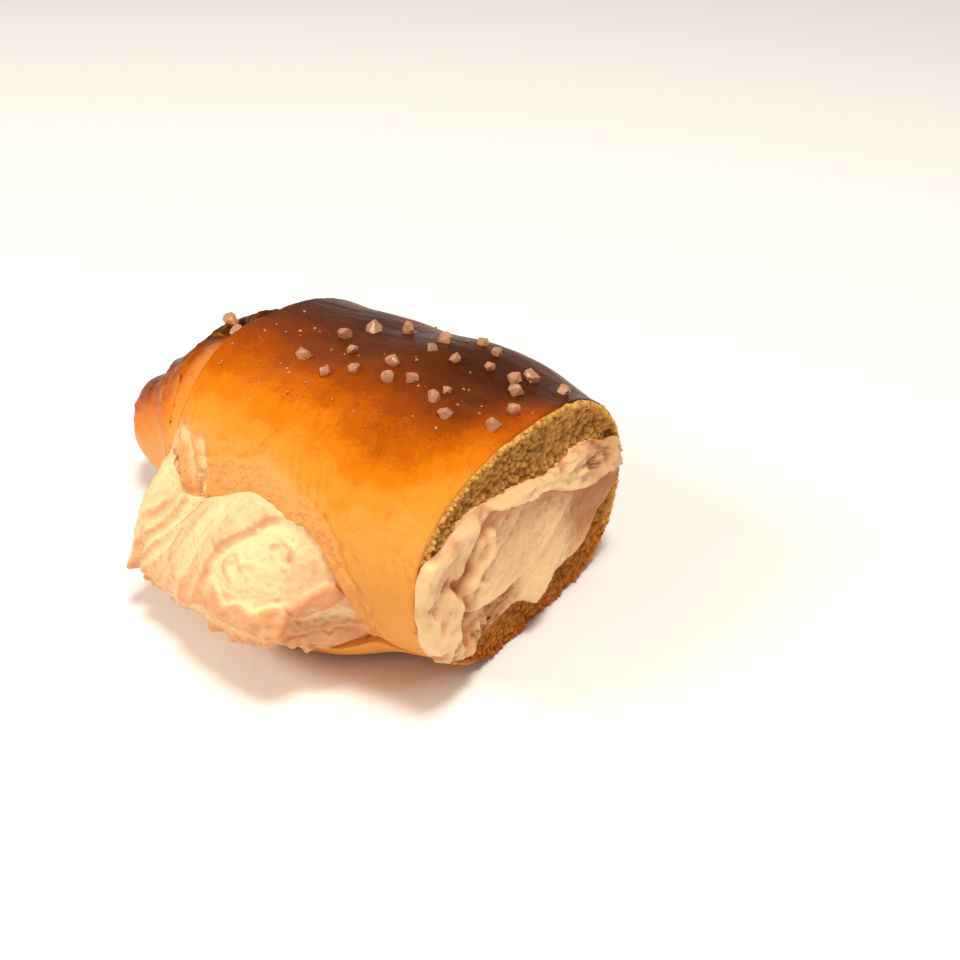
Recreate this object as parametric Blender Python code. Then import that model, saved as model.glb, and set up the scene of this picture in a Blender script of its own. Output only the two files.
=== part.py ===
"""Cream-filled salt bread, the larger piece of a roll that was cut across.

The roll is a spindle of rolled-up dough with its point at -X and the cut at +X. It lies on its flat
base, which is the plane Z = 0. A slit runs along its front, on the -Y side, and whipped cream fills
the pocket behind it, swells out of it and shows on the cut face. Coarse salt is baked onto its top.
Everything is in metres.
"""

import math
from collections import namedtuple

import bmesh
import bpy
import numpy as np
from mathutils import Euler, Matrix, Vector

# The roll's outline, at places along it: half widths to the front and the back of the middle line,
# heights of the top and the underside, how far the middle line lies to the back, and how square the
# quarter below the front is (2 is an ellipse).
Station = namedtuple("Station", "x front back top under side square")
STATIONS = (
    Station(-0.066, 0.0085, 0.0115, 0.0255, 0.0030, 0.0040, 2.0),
    Station(-0.057, 0.0120, 0.0150, 0.0305, 0.0012, 0.0040, 2.0),
    Station(-0.048, 0.0150, 0.0205, 0.0370, 0.0000, 0.0035, 2.2),
    Station(-0.040, 0.0195, 0.0275, 0.0440, -0.0010, 0.0030, 2.8),
    Station(-0.028, 0.0265, 0.0345, 0.0502, -0.0013, 0.0020, 4.6),
    Station(-0.012, 0.0320, 0.0380, 0.0524, -0.0013, 0.0010, 6.5),
    Station(0.008, 0.0345, 0.0390, 0.0540, -0.0013, 0.0000, 6.5),
    Station(0.020, 0.0350, 0.0385, 0.0548, -0.0013, 0.0000, 4.4),
    Station(0.030, 0.0355, 0.0375, 0.0540, -0.0013, 0.0000, 2.5),
    Station(0.038, 0.0355, 0.0365, 0.0525, -0.0013, 0.0000, 1.95),
    Station(0.050, 0.0350, 0.0345, 0.0502, -0.0013, 0.0000, 1.65),
)
TIP_X = -0.066
CUT_X = 0.045
CUT_TURN = math.radians(4)  # the knife stood a little oblique to the roll
NOSE = 0.007  # length of the rounded point
BROW_FRONT, BROW_BACK = 0.54, 0.44  # height of the widest place, as a share of the top's height

SQUARE_BACK_TOP, SQUARE_FRONT_TOP, SQUARE_BACK_BASE = 2.60, 2.35, 3.20

# Broad lumps in the crust: height, waves along the roll and round it, and where each starts.
Lump = namedtuple("Lump", "height along round start")
LUMPS = (
    Lump(0.00045, 70, 2, 0.4),
    Lump(0.00035, 130, 3, 2.1),
    Lump(0.00025, 210, 5, 4.4),
)

# The edges of the rolled-up layers: where each lies at the back, on top and in front, and its step.
Wrap = namedtuple("Wrap", "back top front step reach")
WRAPS = (
    Wrap(-0.0565, -0.0530, -0.0330, 0.0026, 0.006),
    Wrap(-0.0450, -0.0390, -0.0270, 0.0028, 0.007),
    Wrap(-0.0180, -0.0262, -0.0225, 0.0028, 0.009),
)

# The pocket for the cream: its wall's thickness, round the section from the back over the top.
AXIS_Y, AXIS_Z = -0.003, 0.024  # the line that the pocket is measured from
WALL = (
    (0, 0.0058), (20, 0.0060), (46, 0.0148), (90, 0.0116), (118, 0.0096), (140, 0.0056), (160, 0.0034),
    (180, 0.0028), (208, 0.0032), (228, 0.0075), (270, 0.0125), (315, 0.0150), (360, 0.0058),
)
POCKET_END = -0.036
POCKET_TAPER = 0.016
SLIT_RISE = 0.004  # length over which the slit opens at that end

# The slit's two lips: their heights along the roll.
Lip = namedtuple("Lip", "x upper lower")
LIPS = (
    Lip(-0.034, 0.0270, 0.0180),
    Lip(-0.029, 0.0340, 0.0085),
    Lip(-0.023, 0.0345, 0.0060),
    Lip(-0.016, 0.0300, 0.0058),
    Lip(-0.008, 0.0335, 0.0056),
    Lip(0.002, 0.0385, 0.0056),
    Lip(0.012, 0.0385, 0.0060),
    Lip(0.021, 0.0365, 0.0075),
    Lip(0.027, 0.0300, 0.0105),
    Lip(0.032, 0.0205, 0.0130),
    Lip(0.037, 0.0125, 0.0092),
    Lip(0.049, 0.0095, 0.0080),
)
NARROWEST = 4.5  # degrees that the slit spans where it is all but shut

# The cream outside the slit.
GAP = 0.0003
END_GAP = 0.0036  # more of it at the pocket's narrow end
SWELL = 0.0125  # how far it stands out
SWELL_PROFILE = ((0, 0.06), (0.2, 0.45), (0.4, 0.82), (0.60, 1.0), (0.80, 0.74), (0.92, 0.34), (1, 0.05))
SWELL_FROM, SWELL_TO = -0.0325, 0.0315
SWELL_RISE, SWELL_FALL = 0.0080, 0.0200
UNDERCUT, UNDERCUT_FROM, UNDERCUT_LENGTH = 0.55, 0.002, 0.014  # it turns in below, towards the cut
SPREAD, SPREAD_LENGTH = 0.0075, 0.016  # it spills past the slit's end to the left
PEAK_X, PEAK_SHARE, PEAK_HEIGHT = -0.0262, 0.66, 0.0045  # a pulled tip at the left
PEAK_LENGTH, PEAK_WIDTH, PEAK_LEAN = 0.0022, 0.07, 0.0020

# Marks that the spatula left: fine ridges, and folds where one dollop lies on the next. A fold's course
# is in places along the roll and shares across the slit; its height is the step to the course's right.
RIDGE_HEIGHT, RIDGES_ALONG, RIDGES_ACROSS = 0.0005, 780, 9.0
Fold = namedtuple("Fold", "height reach course")
FOLDS = (
    Fold(0.0010, 0.0045, ((0.0004, 0.40), (0.0010, 0.32), (0.0040, 0.22), (0.0130, 0.02))),
    Fold(-0.0010, 0.0030, ((0.0030, 0.46), (0.0055, 0.52), (0.0100, 0.46), (0.0140, 0.47))),
    Fold(-0.0011, 0.0036, ((0.0140, 0.45), (0.0207, 0.37), (0.0227, 0.28), (0.0252, 0.13))),
    Fold(0.0010, 0.0036, ((0.0180, 0.58), (0.0200, 0.48), (0.0235, 0.42), (0.0285, 0.12))),
)
FOLD_EDGE = 0.0010
SLIT_SPAN = 0.036  # what a share of 1 across the slit measures

# The cream on the cut face, as the knife smeared it: its edge's distance from the axis, by angle.
CREAM_PROUD = 0.0010
FACE_EDGE = (
    (0, 0.0374), (16, 0.0355), (21, 0.0305), (28, 0.0232), (45, 0.0178), (79, 0.0158), (112, 0.0186),
    (129, 0.0226), (146, 0.0284), (156, 0.0324), (168, 0.0308), (180, 0.0296), (188, 0.0276), (205, 0.0262),
    (216, 0.0248), (226, 0.0196), (240, 0.0150), (262, 0.0125), (274, 0.0140), (286, 0.0176), (311, 0.0180),
    (332, 0.0205), (342, 0.0255), (350, 0.0335), (360, 0.0374),
)
FACE_RINGS = ((1.0, 0.0), (0.86, 0.0007), (0.60, 0.0002), (0.30, 0.0008))  # its size and how far it swells

# Coarse salt: each patch is a grid over a stretch of the roll and a span of angles.
Patch = namedtuple("Patch", "x_from x_to angle_from angle_to columns rows")
SALT_PATCHES = (Patch(-0.008, 0.0425, 58, 107, 8, 4), Patch(-0.037, -0.027, 78, 100, 3, 1))
SALT_SEED = 23
SALT_SIZE = (0.0011, 0.0018)  # half sizes, smallest and largest
SALT_SKIPPED = 0.2

AROUND = 56
POCKET_AROUND, WINDOW_AROUND = 34, 22

CRUST_COLOUR = (0.72, 0.33, 0.07, 1)
CREAM_COLOUR = (0.93, 0.76, 0.55, 1)


def smooth(t):
    """0 below t = 0, 1 above t = 1, and a smooth rise between."""
    t = np.clip(t, 0, 1)
    return t * t * (3 - 2 * t)


def curve_through(x, xs, ys):
    """A smooth curve through the points (xs, ys), read at x."""
    xs, ys = np.array(xs, float), np.array(ys, float)
    slope = np.gradient(ys, xs)
    i = int(np.clip(np.searchsorted(xs, x) - 1, 0, len(xs) - 2))
    width = xs[i + 1] - xs[i]
    t = float(np.clip((x - xs[i]) / width, 0, 1))
    return (
        (2 * t**3 - 3 * t**2 + 1) * ys[i]
        + (t**3 - 2 * t**2 + t) * width * slope[i]
        + (3 * t**2 - 2 * t**3) * ys[i + 1]
        + (t**3 - t**2) * width * slope[i + 1]
    )


def along(table, field, x):
    """A field of a table of places along the roll, read at x."""
    return curve_through(x, [row.x for row in table], [getattr(row, field) for row in table])


def wrap_edge(wrap, angle):
    """X of a layer's edge at an angle round the section: 0 back, 90 top, 180 front, 270 under."""
    places = (wrap.back, wrap.top, wrap.front, wrap.front, wrap.back)
    return curve_through(angle % 360, (0, 90, 180, 270, 360), places)


def layer_relief(x, angle):
    """How far the rolled layers lift the surface: up just past each edge, and down before it."""
    lift = 0.0
    for wrap in WRAPS:
        past = x - wrap_edge(wrap, angle)
        lift += math.copysign(wrap.step / 2, past) * math.exp(-abs(past) / wrap.reach)
    turn = math.radians(angle)
    for lump in LUMPS:
        lift += lump.height * math.sin(lump.along * x + lump.round * turn + lump.start)
    return lift * float(smooth((x - TIP_X) / NOSE))


def outer_point(x, angle):
    """(y, z) of the crust at x and an angle round the section."""
    c, s = math.cos(math.radians(angle)), math.sin(math.radians(angle))
    lift = layer_relief(x, angle)
    nose = math.sqrt(max(1 - (1 - min((x - TIP_X) / NOSE, 1)) ** 2, 0.0))
    top = along(STATIONS, "top", x) + lift
    half = along(STATIONS, "front" if c < 0 else "back", x) + lift
    brow = top * (BROW_FRONT if c < 0 else BROW_BACK)
    if s >= 0:
        power = SQUARE_FRONT_TOP if c < 0 else SQUARE_BACK_TOP
        height = top - brow
    else:
        power = along(STATIONS, "square", x) if c < 0 else SQUARE_BACK_BASE
        height = brow - along(STATIONS, "under", x)
    reach = (abs(c) ** power + abs(s) ** power) ** (-1 / power)
    middle = top * (BROW_FRONT + BROW_BACK) / 2
    y = along(STATIONS, "side", x) + half * reach * c * nose
    z = brow + height * reach * s
    return y, max(middle + (z - middle) * nose, 0.0)


def front_angle(x, z):
    """The angle of the front surface's point at height z."""
    low, high = 95.0, 268.0
    for _ in range(24):
        angle = (low + high) / 2
        if outer_point(x, angle)[1] > z:
            low = angle
        else:
            high = angle
    return (low + high) / 2


def polar(y, z):
    """Distance and angle in degrees from the pocket's axis."""
    return math.hypot(y - AXIS_Y, z - AXIS_Z), math.degrees(math.atan2(z - AXIS_Z, y - AXIS_Y)) % 360


def outer_reach(x):
    """Angles and distances of the crust as seen from the pocket's axis, for reading between."""
    points = [polar(*outer_point(x, angle)) for angle in range(0, 360, 4)]
    points.sort(key=lambda p: p[1])
    angles = [p[1] for p in points]
    reach = [p[0] for p in points]
    return [angles[-1] - 360, *angles, angles[0] + 360], [reach[-1], *reach, reach[0]]


def pocket_reach(x, angle, outer):
    """Distance from the axis to the pocket's wall."""
    wall = curve_through(angle % 360, *zip(*WALL))
    full = float(np.interp(angle % 360, *outer)) - wall
    fill = math.sqrt(float(smooth((x - POCKET_END) / POCKET_TAPER)))
    return max(full, 0.001) * fill


def lip_angles(x):
    """Angles of the slit's upper and lower lip, from the pocket's axis."""
    found = []
    for field in ("upper", "lower"):
        y, z = outer_point(x, front_angle(x, along(LIPS, field, x)))
        found.append(polar(y, z)[1])
    upper, lower = found
    return upper, max(lower, upper + NARROWEST)


def at(x, angle, reach):
    """The point at an angle and a distance from the axis, moved onto the oblique planes near the cut."""
    y = AXIS_Y + reach * math.cos(math.radians(angle))
    z = AXIS_Z + reach * math.sin(math.radians(angle))
    return Vector((x + turn_shift(x, y), y, z))


def turn_shift(x, y):
    """How far the sections lean towards the oblique cut: not at all at mid length, fully at the cut."""
    return y * math.tan(CUT_TURN) * float(smooth((x - 0.010) / (CUT_X - 0.010)))


def loft(name, rings, start_point, end_point=None):
    """A closed mesh object through rings of equally many points, with a flat end unless that has a point."""
    bm = bmesh.new()
    rows = [[bm.verts.new(point) for point in ring] for ring in rings]
    count = len(rows[0])
    for row, next_row in zip(rows, rows[1:]):
        for j in range(count):
            k = (j + 1) % count
            bm.faces.new((row[j], row[k], next_row[k], next_row[j]))
    pole = bm.verts.new(start_point)
    for j in range(count):
        bm.faces.new((pole, rows[0][(j + 1) % count], rows[0][j]))
    if end_point is None:
        bm.faces.new(rows[-1])
    else:
        pole = bm.verts.new(end_point)
        for j in range(count):
            bm.faces.new((pole, rows[-1][j], rows[-1][(j + 1) % count]))
    bmesh.ops.triangulate(bm, faces=bm.faces)
    bmesh.ops.recalc_face_normals(bm, faces=bm.faces)
    mesh = bpy.data.meshes.new(name)
    bm.to_mesh(mesh)
    bm.free()
    return bpy.data.objects.new(name, mesh)


def crust_places():
    """Functions of angle that give X of each ring: they follow the layers' edges, then the cut."""
    past_edge = 0.0005
    places = [lambda a, t=t: TIP_X + NOSE * (1 - math.cos(t * math.pi / 2)) for t in (0.25, 0.45, 0.65, 0.80)]
    starts = [lambda a: TIP_X + NOSE * 0.75]
    starts += [lambda a, w=w: wrap_edge(w, a) for w in WRAPS]
    starts.append(lambda a: CUT_X)
    shares = ((0.45,), (0.30, 0.65), (0.35, 0.70), np.linspace(0.06, 0.94, 15))
    for start, end, between in zip(starts, starts[1:], shares):
        if start is not starts[0]:
            places.append(lambda a, s=start: s(a) - past_edge)
            places.append(lambda a, s=start: s(a) + past_edge)
        places += [lambda a, s=start, e=end, t=t: s(a) + (e(a) - s(a)) * t for t in between]
    places.append(lambda a: CUT_X)
    return places


def make_crust():
    """The whole roll up to the cut, without its pocket."""
    rings = []
    for place in crust_places():
        ring = []
        for j in range(AROUND):
            angle = 360 * j / AROUND
            x = place(angle)
            y, z = outer_point(x, angle)
            ring.append(Vector((x + turn_shift(x, y), y, z)))
        rings.append(ring)
    middle = STATIONS[0].top * (BROW_FRONT + BROW_BACK) / 2
    return loft("bread", rings, Vector((TIP_X, STATIONS[0].side, middle)))


def pocket_section(x, outward, shrink=0.0):
    """Points round the pocket: from the lower lip round by the back to the upper lip, then across the slit.

    outward gives the distance of the points across the slit. shrink keeps clear of the walls.
    """
    outer = outer_reach(x)
    upper, lower = lip_angles(x)
    clear = math.degrees(shrink / 0.034)
    upper, lower = upper + clear, lower - clear

    def wall(angle):
        reach = pocket_reach(x, angle, outer)
        return max(reach - shrink, reach * 0.4)

    section = [at(x, angle, wall(angle)) for angle in np.linspace(lower, upper + 360, POCKET_AROUND)]
    for share in np.linspace(0, 1, WINDOW_AROUND):
        angle = upper + (lower - upper) * share
        section.append(at(x, angle, outward(x, share, wall(angle) + GAP, float(np.interp(angle, *outer)))))
    return section


def beyond(x, share, inside, crust):
    """Well outside the crust for the cutter, but still inside at the slit's far end."""
    return inside + (crust + 0.012 - inside) * float(smooth((x - POCKET_END - 0.0005) / SLIT_RISE))


def pocket_places():
    """X of the pocket's sections, closer together where the slit begins."""
    first = [POCKET_END + 0.0008, POCKET_END + 0.0030]
    return np.concatenate([first, np.linspace(-0.0310, -0.0240, 7), np.linspace(-0.0223, CUT_X, 33)])


def make_pocket():
    """The cutter that takes the pocket and the slit out of the roll."""
    places = [*pocket_places(), CUT_X + 0.003, CUT_X + 0.006]
    start = Vector((POCKET_END, AXIS_Y, AXIS_Z))
    return loft("pocket", [pocket_section(x, beyond) for x in places], start)


def outflow(x):
    """How much of the swell there is at x: none past the slit's ends."""
    rising = float(smooth((x - SWELL_FROM) / SWELL_RISE)) ** 0.5
    return rising * float(smooth((SWELL_TO - x) / SWELL_FALL)) ** 0.6


def crown(x, share):
    """The swell's profile across the slit, 0 to 1."""
    below = float(smooth((share - 0.55) / 0.35))
    turned_in = UNDERCUT * below * float(smooth((x - UNDERCUT_FROM) / UNDERCUT_LENGTH))
    return curve_through(share, *zip(*SWELL_PROFILE)) * (1 - turned_in)


def fold_height(x, share):
    """How far the folds raise or lower the cream."""
    height = 0.0
    for fold in FOLDS:
        nearest, side = 1.0, 0.0
        for (x0, share0), (x1, share1) in zip(fold.course, fold.course[1:]):
            run = np.array([x1 - x0, (share1 - share0) * SLIT_SPAN])
            away = np.array([x - x0, (share - share0) * SLIT_SPAN])
            off = away - run * float(np.clip(away @ run / (run @ run), 0, 1))
            distance = math.hypot(*off)
            if distance < nearest:
                nearest = distance
                side = (run[0] * off[1] - run[1] * off[0]) / max(math.hypot(*run) * distance, 1e-12)
        height += fold.height * side * math.tanh(nearest / FOLD_EDGE) * math.exp(-nearest / fold.reach)
    return height


def peak(x, share):
    """The pulled tip, 0 to 1."""
    return math.exp(-(((x - PEAK_X) / PEAK_LENGTH) ** 2) - ((share - PEAK_SHARE) / PEAK_WIDTH) ** 2)


def swell(x, share, inside, crust):
    """Distance of the cream's surface in the slit: past the lips where it swells, else inside them."""
    ridge = RIDGE_HEIGHT * math.sin(RIDGES_ALONG * x + RIDGES_ACROSS * share)
    marks = (ridge + fold_height(x, share)) * math.sin(math.pi * share) ** 0.5 if 0 < share < 1 else 0.0
    proud = SWELL * crown(x, share) + PEAK_HEIGHT * peak(x, share) + marks
    return inside + (crust + proud - inside) * outflow(x)


def spill(x, share):
    """How far the swelling cream leans to the left, past the slit's end."""
    near_end = 1 - float(smooth((x - SWELL_FROM) / SPREAD_LENGTH))
    lean = SPREAD * max(crown(x, share) - 0.35, 0) * outflow(x) ** 2 * near_end
    return -lean - PEAK_LEAN * peak(x, share)


def cream_section(x):
    """Points round the cream at x: the pocket's section with clear walls and a swelling front."""
    points = pocket_section(x, swell, GAP + END_GAP * (1 - float(smooth((x - POCKET_END) / POCKET_TAPER))))
    for i in range(WINDOW_AROUND):
        points[POCKET_AROUND + i].x += spill(x, i / (WINDOW_AROUND - 1))
    return points


def smeared(points, proud, spread):
    """A section moved out past the cut, and by a share of the way to the smeared edge."""
    moved = []
    for p in points:
        reach, angle = polar(p.y, p.z)
        edge = max(curve_through(angle, *zip(*FACE_EDGE)), reach)
        out = Vector((0, p.y - AXIS_Y, p.z - AXIS_Z)).normalized() * (edge - reach) * spread
        moved.append(p + Vector((proud + out.y * math.tan(CUT_TURN), 0, 0)) + out)
    return moved


def make_cream():
    """The cream: it fills the pocket, swells out of the slit and stands a little proud of the cut."""
    rings = [cream_section(x) for x in pocket_places()[1:]]
    last = rings[-1]
    rings.append(smeared(last, GAP, 0))
    rings.append(smeared(last, (GAP + CREAM_PROUD) / 2, 1))
    rim = smeared(last, CREAM_PROUD, 0.8)
    centre = Vector((CUT_X + turn_shift(CUT_X, AXIS_Y) + CREAM_PROUD, AXIS_Y, AXIS_Z))
    for size, proud in FACE_RINGS:
        rings.append([centre + (p - centre) * size + Vector((proud, 0, 0)) for p in rim])
    start = Vector((rings[0][0].x - 0.0005, AXIS_Y, AXIS_Z))
    return loft("cream", rings, start, centre + Vector((CREAM_PROUD, 0, 0)))


def crust_normal(x, angle):
    """The crust's outward direction."""
    step = 0.0008
    y, z = outer_point(x, angle)
    y1, z1 = outer_point(x + step, angle)
    y2, z2 = outer_point(x, angle + 2)
    lengthwise = Vector((step, y1 - y, z1 - z))
    round_it = Vector((0, y2 - y, z2 - z))
    return round_it.cross(lengthwise).normalized()


def make_grain(x, angle, half, turn, stretch):
    """One crystal, sunk a little into the crust."""
    y, z = outer_point(x, angle)
    place = Vector((x + turn_shift(x, y), y, z)) + crust_normal(x, angle) * half * 0.35
    bm = bmesh.new()
    bmesh.ops.create_icosphere(bm, subdivisions=1, radius=half)
    crystal = bpy.data.meshes.new("crystal")
    bm.to_mesh(crystal)
    bm.free()
    crystal.transform(Matrix.Translation(place) @ turn.to_matrix().to_4x4() @ Matrix.Diagonal((*stretch, 1)))
    return bpy.data.objects.new("grain", crystal)


def make_salt(collection):
    """Coarse crystals over the top, in jittered rows."""
    rng = np.random.default_rng(SALT_SEED)
    for patch in SALT_PATCHES:
        for i in range(patch.rows * patch.columns):
            row, column = divmod(i, patch.columns)
            jitter_x, jitter_a, skip, size = rng.random(4)
            turn = Euler(rng.uniform(0, math.tau, 3))
            stretch = rng.uniform(0.75, 1.15, 3)
            if skip < SALT_SKIPPED:
                continue
            x = patch.x_from + (patch.x_to - patch.x_from) * (column + jitter_x * 0.8) / patch.columns
            span = patch.angle_to - patch.angle_from
            angle = patch.angle_from + span * (row + jitter_a * 0.8) / patch.rows
            half = SALT_SIZE[0] + (SALT_SIZE[1] - SALT_SIZE[0]) * size
            collection.objects.link(make_grain(x, angle, half, turn, stretch))


def material(name, colour, roughness):
    """A plain material."""
    made = bpy.data.materials.new(name)
    made.use_nodes = True
    shader = made.node_tree.nodes["Principled BSDF"]
    shader.inputs["Base Color"].default_value = colour
    shader.inputs["Roughness"].default_value = roughness
    return made


def clear_scene():
    for obj in list(bpy.data.objects):
        bpy.data.objects.remove(obj)


def new_collection(name, helper=False):
    made = bpy.data.collections.new(name)
    made.hide_render = helper
    bpy.context.scene.collection.children.link(made)
    return made


def main():
    clear_scene()
    parts = new_collection("cream_filled_salt_bread")
    cutters = new_collection("cutters", helper=True)
    grains = new_collection("grains", helper=True)

    bread = make_crust()
    bread.data.materials.append(material("crust", CRUST_COLOUR, 0.45))
    parts.objects.link(bread)
    pocket = make_pocket()
    pocket.hide_render = True
    pocket.display_type = "WIRE"
    cutters.objects.link(pocket)
    make_salt(grains)
    fuse = bread.modifiers.new("salt", "BOOLEAN")
    fuse.operation = "UNION"
    fuse.operand_type = "COLLECTION"
    fuse.collection = grains
    cut = bread.modifiers.new("pocket", "BOOLEAN")
    cut.operation = "DIFFERENCE"
    cut.object = pocket
    bpy.context.view_layer.objects.active = bread
    for name in ("salt", "pocket"):
        bpy.ops.object.modifier_apply(modifier=name)
    for grain in list(grains.objects):
        bpy.data.objects.remove(grain)

    cream = make_cream()
    cream.data.materials.append(material("cream", CREAM_COLOUR, 0.5))
    parts.objects.link(cream)


main()
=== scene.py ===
"""Looks of a piece of cream-filled salt bread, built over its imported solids.

The crust, the torn crumb at the cut, the whipped cream and the salt are meshes made from the same named
sizes as the solids, with relief from seeded noise, and are finished with node materials. Lengths are in
metres; the roll's point is at -X, its cut face at +X, its slit at -Y and its flat underside at Z = 0.
"""

import logging
import math
from dataclasses import dataclass
from enum import Enum

import bmesh
import bpy
import numpy as np
from bmesh.types import BMesh
from bpy.types import Material, Node, NodeTree, Object
from bpy.types import NodeSocket as Socket
from mathutils import Euler, Matrix, Vector

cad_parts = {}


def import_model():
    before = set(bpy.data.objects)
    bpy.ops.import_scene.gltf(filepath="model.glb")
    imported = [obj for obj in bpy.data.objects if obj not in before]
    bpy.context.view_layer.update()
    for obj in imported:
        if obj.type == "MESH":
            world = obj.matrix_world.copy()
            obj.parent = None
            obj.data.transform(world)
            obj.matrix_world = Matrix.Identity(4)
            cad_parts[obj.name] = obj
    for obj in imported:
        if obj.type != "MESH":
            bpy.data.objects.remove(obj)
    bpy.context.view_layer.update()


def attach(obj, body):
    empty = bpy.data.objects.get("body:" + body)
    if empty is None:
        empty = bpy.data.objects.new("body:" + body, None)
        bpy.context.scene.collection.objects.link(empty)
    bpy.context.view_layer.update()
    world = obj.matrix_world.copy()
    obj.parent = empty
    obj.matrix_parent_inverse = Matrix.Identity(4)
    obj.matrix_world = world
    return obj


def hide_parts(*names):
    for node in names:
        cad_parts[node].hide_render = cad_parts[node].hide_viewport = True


LOG = logging.getLogger("salt_bread")
Array = np.ndarray
Colour = tuple[float, float, float]
Even = tuple[tuple[str, object], ...]


class Slot(Enum):
    """The record's material slots."""

    CRUST = "crust"
    CREAM = "cream"


def smooth(t: Array) -> Array:
    """0 below t = 0, 1 above t = 1, and a smooth rise between."""
    t = np.clip(t, 0.0, 1.0)
    return t * t * (3 - 2 * t)


def rise(place: Array, start: float, width: float) -> Array:
    """0 before start, 1 from start + width on."""
    return smooth((place - start) / width)


def fall(place: Array, end: float, width: float) -> Array:
    """1 up to end - width, 0 from end on."""
    return smooth((end - place) / width)


def bell(distance: Array, width: float) -> Array:
    """1 at no distance, falling off smoothly over width."""
    return np.exp(-((distance / width) ** 2))


@dataclass(frozen=True)
class Zone:
    """A stretch along one direction: its start and end, and how far it fades in and out inside them."""

    start: float
    fade_in: float
    end: float
    fade_out: float

    def share(self, place: Array) -> Array:
        """1 within the stretch, 0 outside it."""
        return rise(place, self.start, self.fade_in) * fall(place, self.end, self.fade_out)


def curve(x: Array, knots: Array, values: Array) -> Array:
    """A smooth curve through knots.

    Args:
        x: Where to read it.
        knots: Rising places of its points.
        values: Values at the knots.

    Returns:
        The curve's value at each x, constant past the ends.
    """
    x, knots, values = np.asarray(x, float), np.asarray(knots, float), np.asarray(values, float)
    slope = np.gradient(values, knots)
    i = np.clip(np.searchsorted(knots, x) - 1, 0, len(knots) - 2)
    width = knots[i + 1] - knots[i]
    t = np.clip((x - knots[i]) / width, 0, 1)
    bend = (t**3 - 2 * t**2 + t) * width * slope[i] + (t**3 - t**2) * width * slope[i + 1]
    return (2 * t**3 - 3 * t**2 + 1) * values[i] + (3 * t**2 - 2 * t**3) * values[i + 1] + bend


def linear(colour: Colour) -> tuple[float, float, float, float]:
    """A display colour of 0 to 255 as Blender's linear colour."""
    parts = [c / 255 for c in colour]
    return (*[c / 12.92 if c <= 0.04045 else ((c + 0.055) / 1.055) ** 2.4 for c in parts], 1.0)


class Noise:
    """Seeded lattice noise over points in space."""

    TABLE = 8192
    PRIMES = (73856093, 19349663, 83492791)
    FINER = 2.03
    LAYER_SHIFT = 17.3
    LAYERED_HEIGHT = 1.6

    def __init__(self, seed: int) -> None:
        """Draws the lattice's table.

        Args:
            seed: Seed of the random draw.
        """
        self._table = np.random.default_rng(seed).random((self.TABLE, 4))

    def _drawn(self, cell: Array) -> Array:
        """The four random numbers of each lattice cell.

        Args:
            cell: Whole numbers of the cells, three each.

        Returns:
            Four numbers for each cell.
        """
        first, second, third = self.PRIMES
        key = cell[..., 0] * first ^ cell[..., 1] * second ^ cell[..., 2] * third
        return self._table[key % self.TABLE]

    def value(self, points: Array) -> Array:
        """Smooth noise from -1 to 1 with features one unit apart.

        Args:
            points: Points, with the last axis of length 3.

        Returns:
            A number for each point.
        """
        base = np.floor(points).astype(np.int64)
        t = points - base
        t = t * t * t * (t * (t * 6 - 15) + 10)
        total = np.zeros(points.shape[:-1])
        for corner in np.ndindex(2, 2, 2):
            weight = np.prod([t[..., k] if corner[k] else 1 - t[..., k] for k in range(3)], axis=0)
            total += weight * self._drawn(base + np.array(corner))[..., 0]
        return total * 2 - 1

    def layered(self, points: Array, size: float, layers: int = 3) -> Array:
        """Noise with finer and finer layers added.

        Args:
            points: Points in metres.
            size: Size of the coarsest features, in metres.
            layers: Number of layers, each half the size and half the height of the last.

        Returns:
            A number of about -1 to 1 for each point.
        """
        total, height = np.zeros(points.shape[:-1]), 1.0
        for layer in range(layers):
            total += height * self.value(points * self.FINER**layer / size + self.LAYER_SHIFT * layer)
            height /= 2
        return total / self.LAYERED_HEIGHT

    def cells(self, points: Array, size: float) -> tuple[Array, Array]:
        """Distances to the nearest two of randomly placed cell centres.

        Args:
            points: Points in metres.
            size: Mean distance between centres, in metres.

        Returns:
            The nearest and second nearest distance, in units of size.
        """
        scaled = points / size
        base = np.floor(scaled).astype(np.int64)
        first = np.full(points.shape[:-1], 9.0)
        second = first.copy()
        for offset in np.ndindex(3, 3, 3):
            cell = base + np.array(offset) - 1
            away = np.linalg.norm(cell + self._drawn(cell)[..., 1:] - scaled, axis=-1)
            second = np.minimum(second, np.maximum(first, away))
            first = np.minimum(first, away)
        return first, second


@dataclass(frozen=True)
class Waves:
    """Soft relief: size and height of its features, its layers and how it is squeezed along each axis."""

    size: float
    height: float
    layers: int = 3
    squeeze: tuple[float, float, float] = (1, 1, 1)

    def on(self, noise: Noise, points: Array) -> Array:
        """Its height at each point, up and down."""
        return noise.layered(points * self.squeeze, self.size, self.layers) * self.height


@dataclass(frozen=True)
class Ridges(Waves):
    """Relief folded into crests, which are narrower the sharper it is."""

    sharpness: float = 2.4

    def on(self, noise: Noise, points: Array) -> Array:
        """Its height at each point, all of it on the crests."""
        folded = np.abs(noise.layered(points * self.squeeze, self.size, self.layers))
        return (1 - folded * self.sharpness) * self.height


@dataclass(frozen=True)
class Spots:
    """Round spots about random centres: spacing, height, and radius and fade in units of the spacing."""

    spacing: float
    height: float
    radius: float
    fade: float

    def on(self, noise: Noise, points: Array) -> Array:
        """Their height at each point."""
        return smooth((self.radius - noise.cells(points, self.spacing)[0]) / self.fade) * self.height


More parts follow.
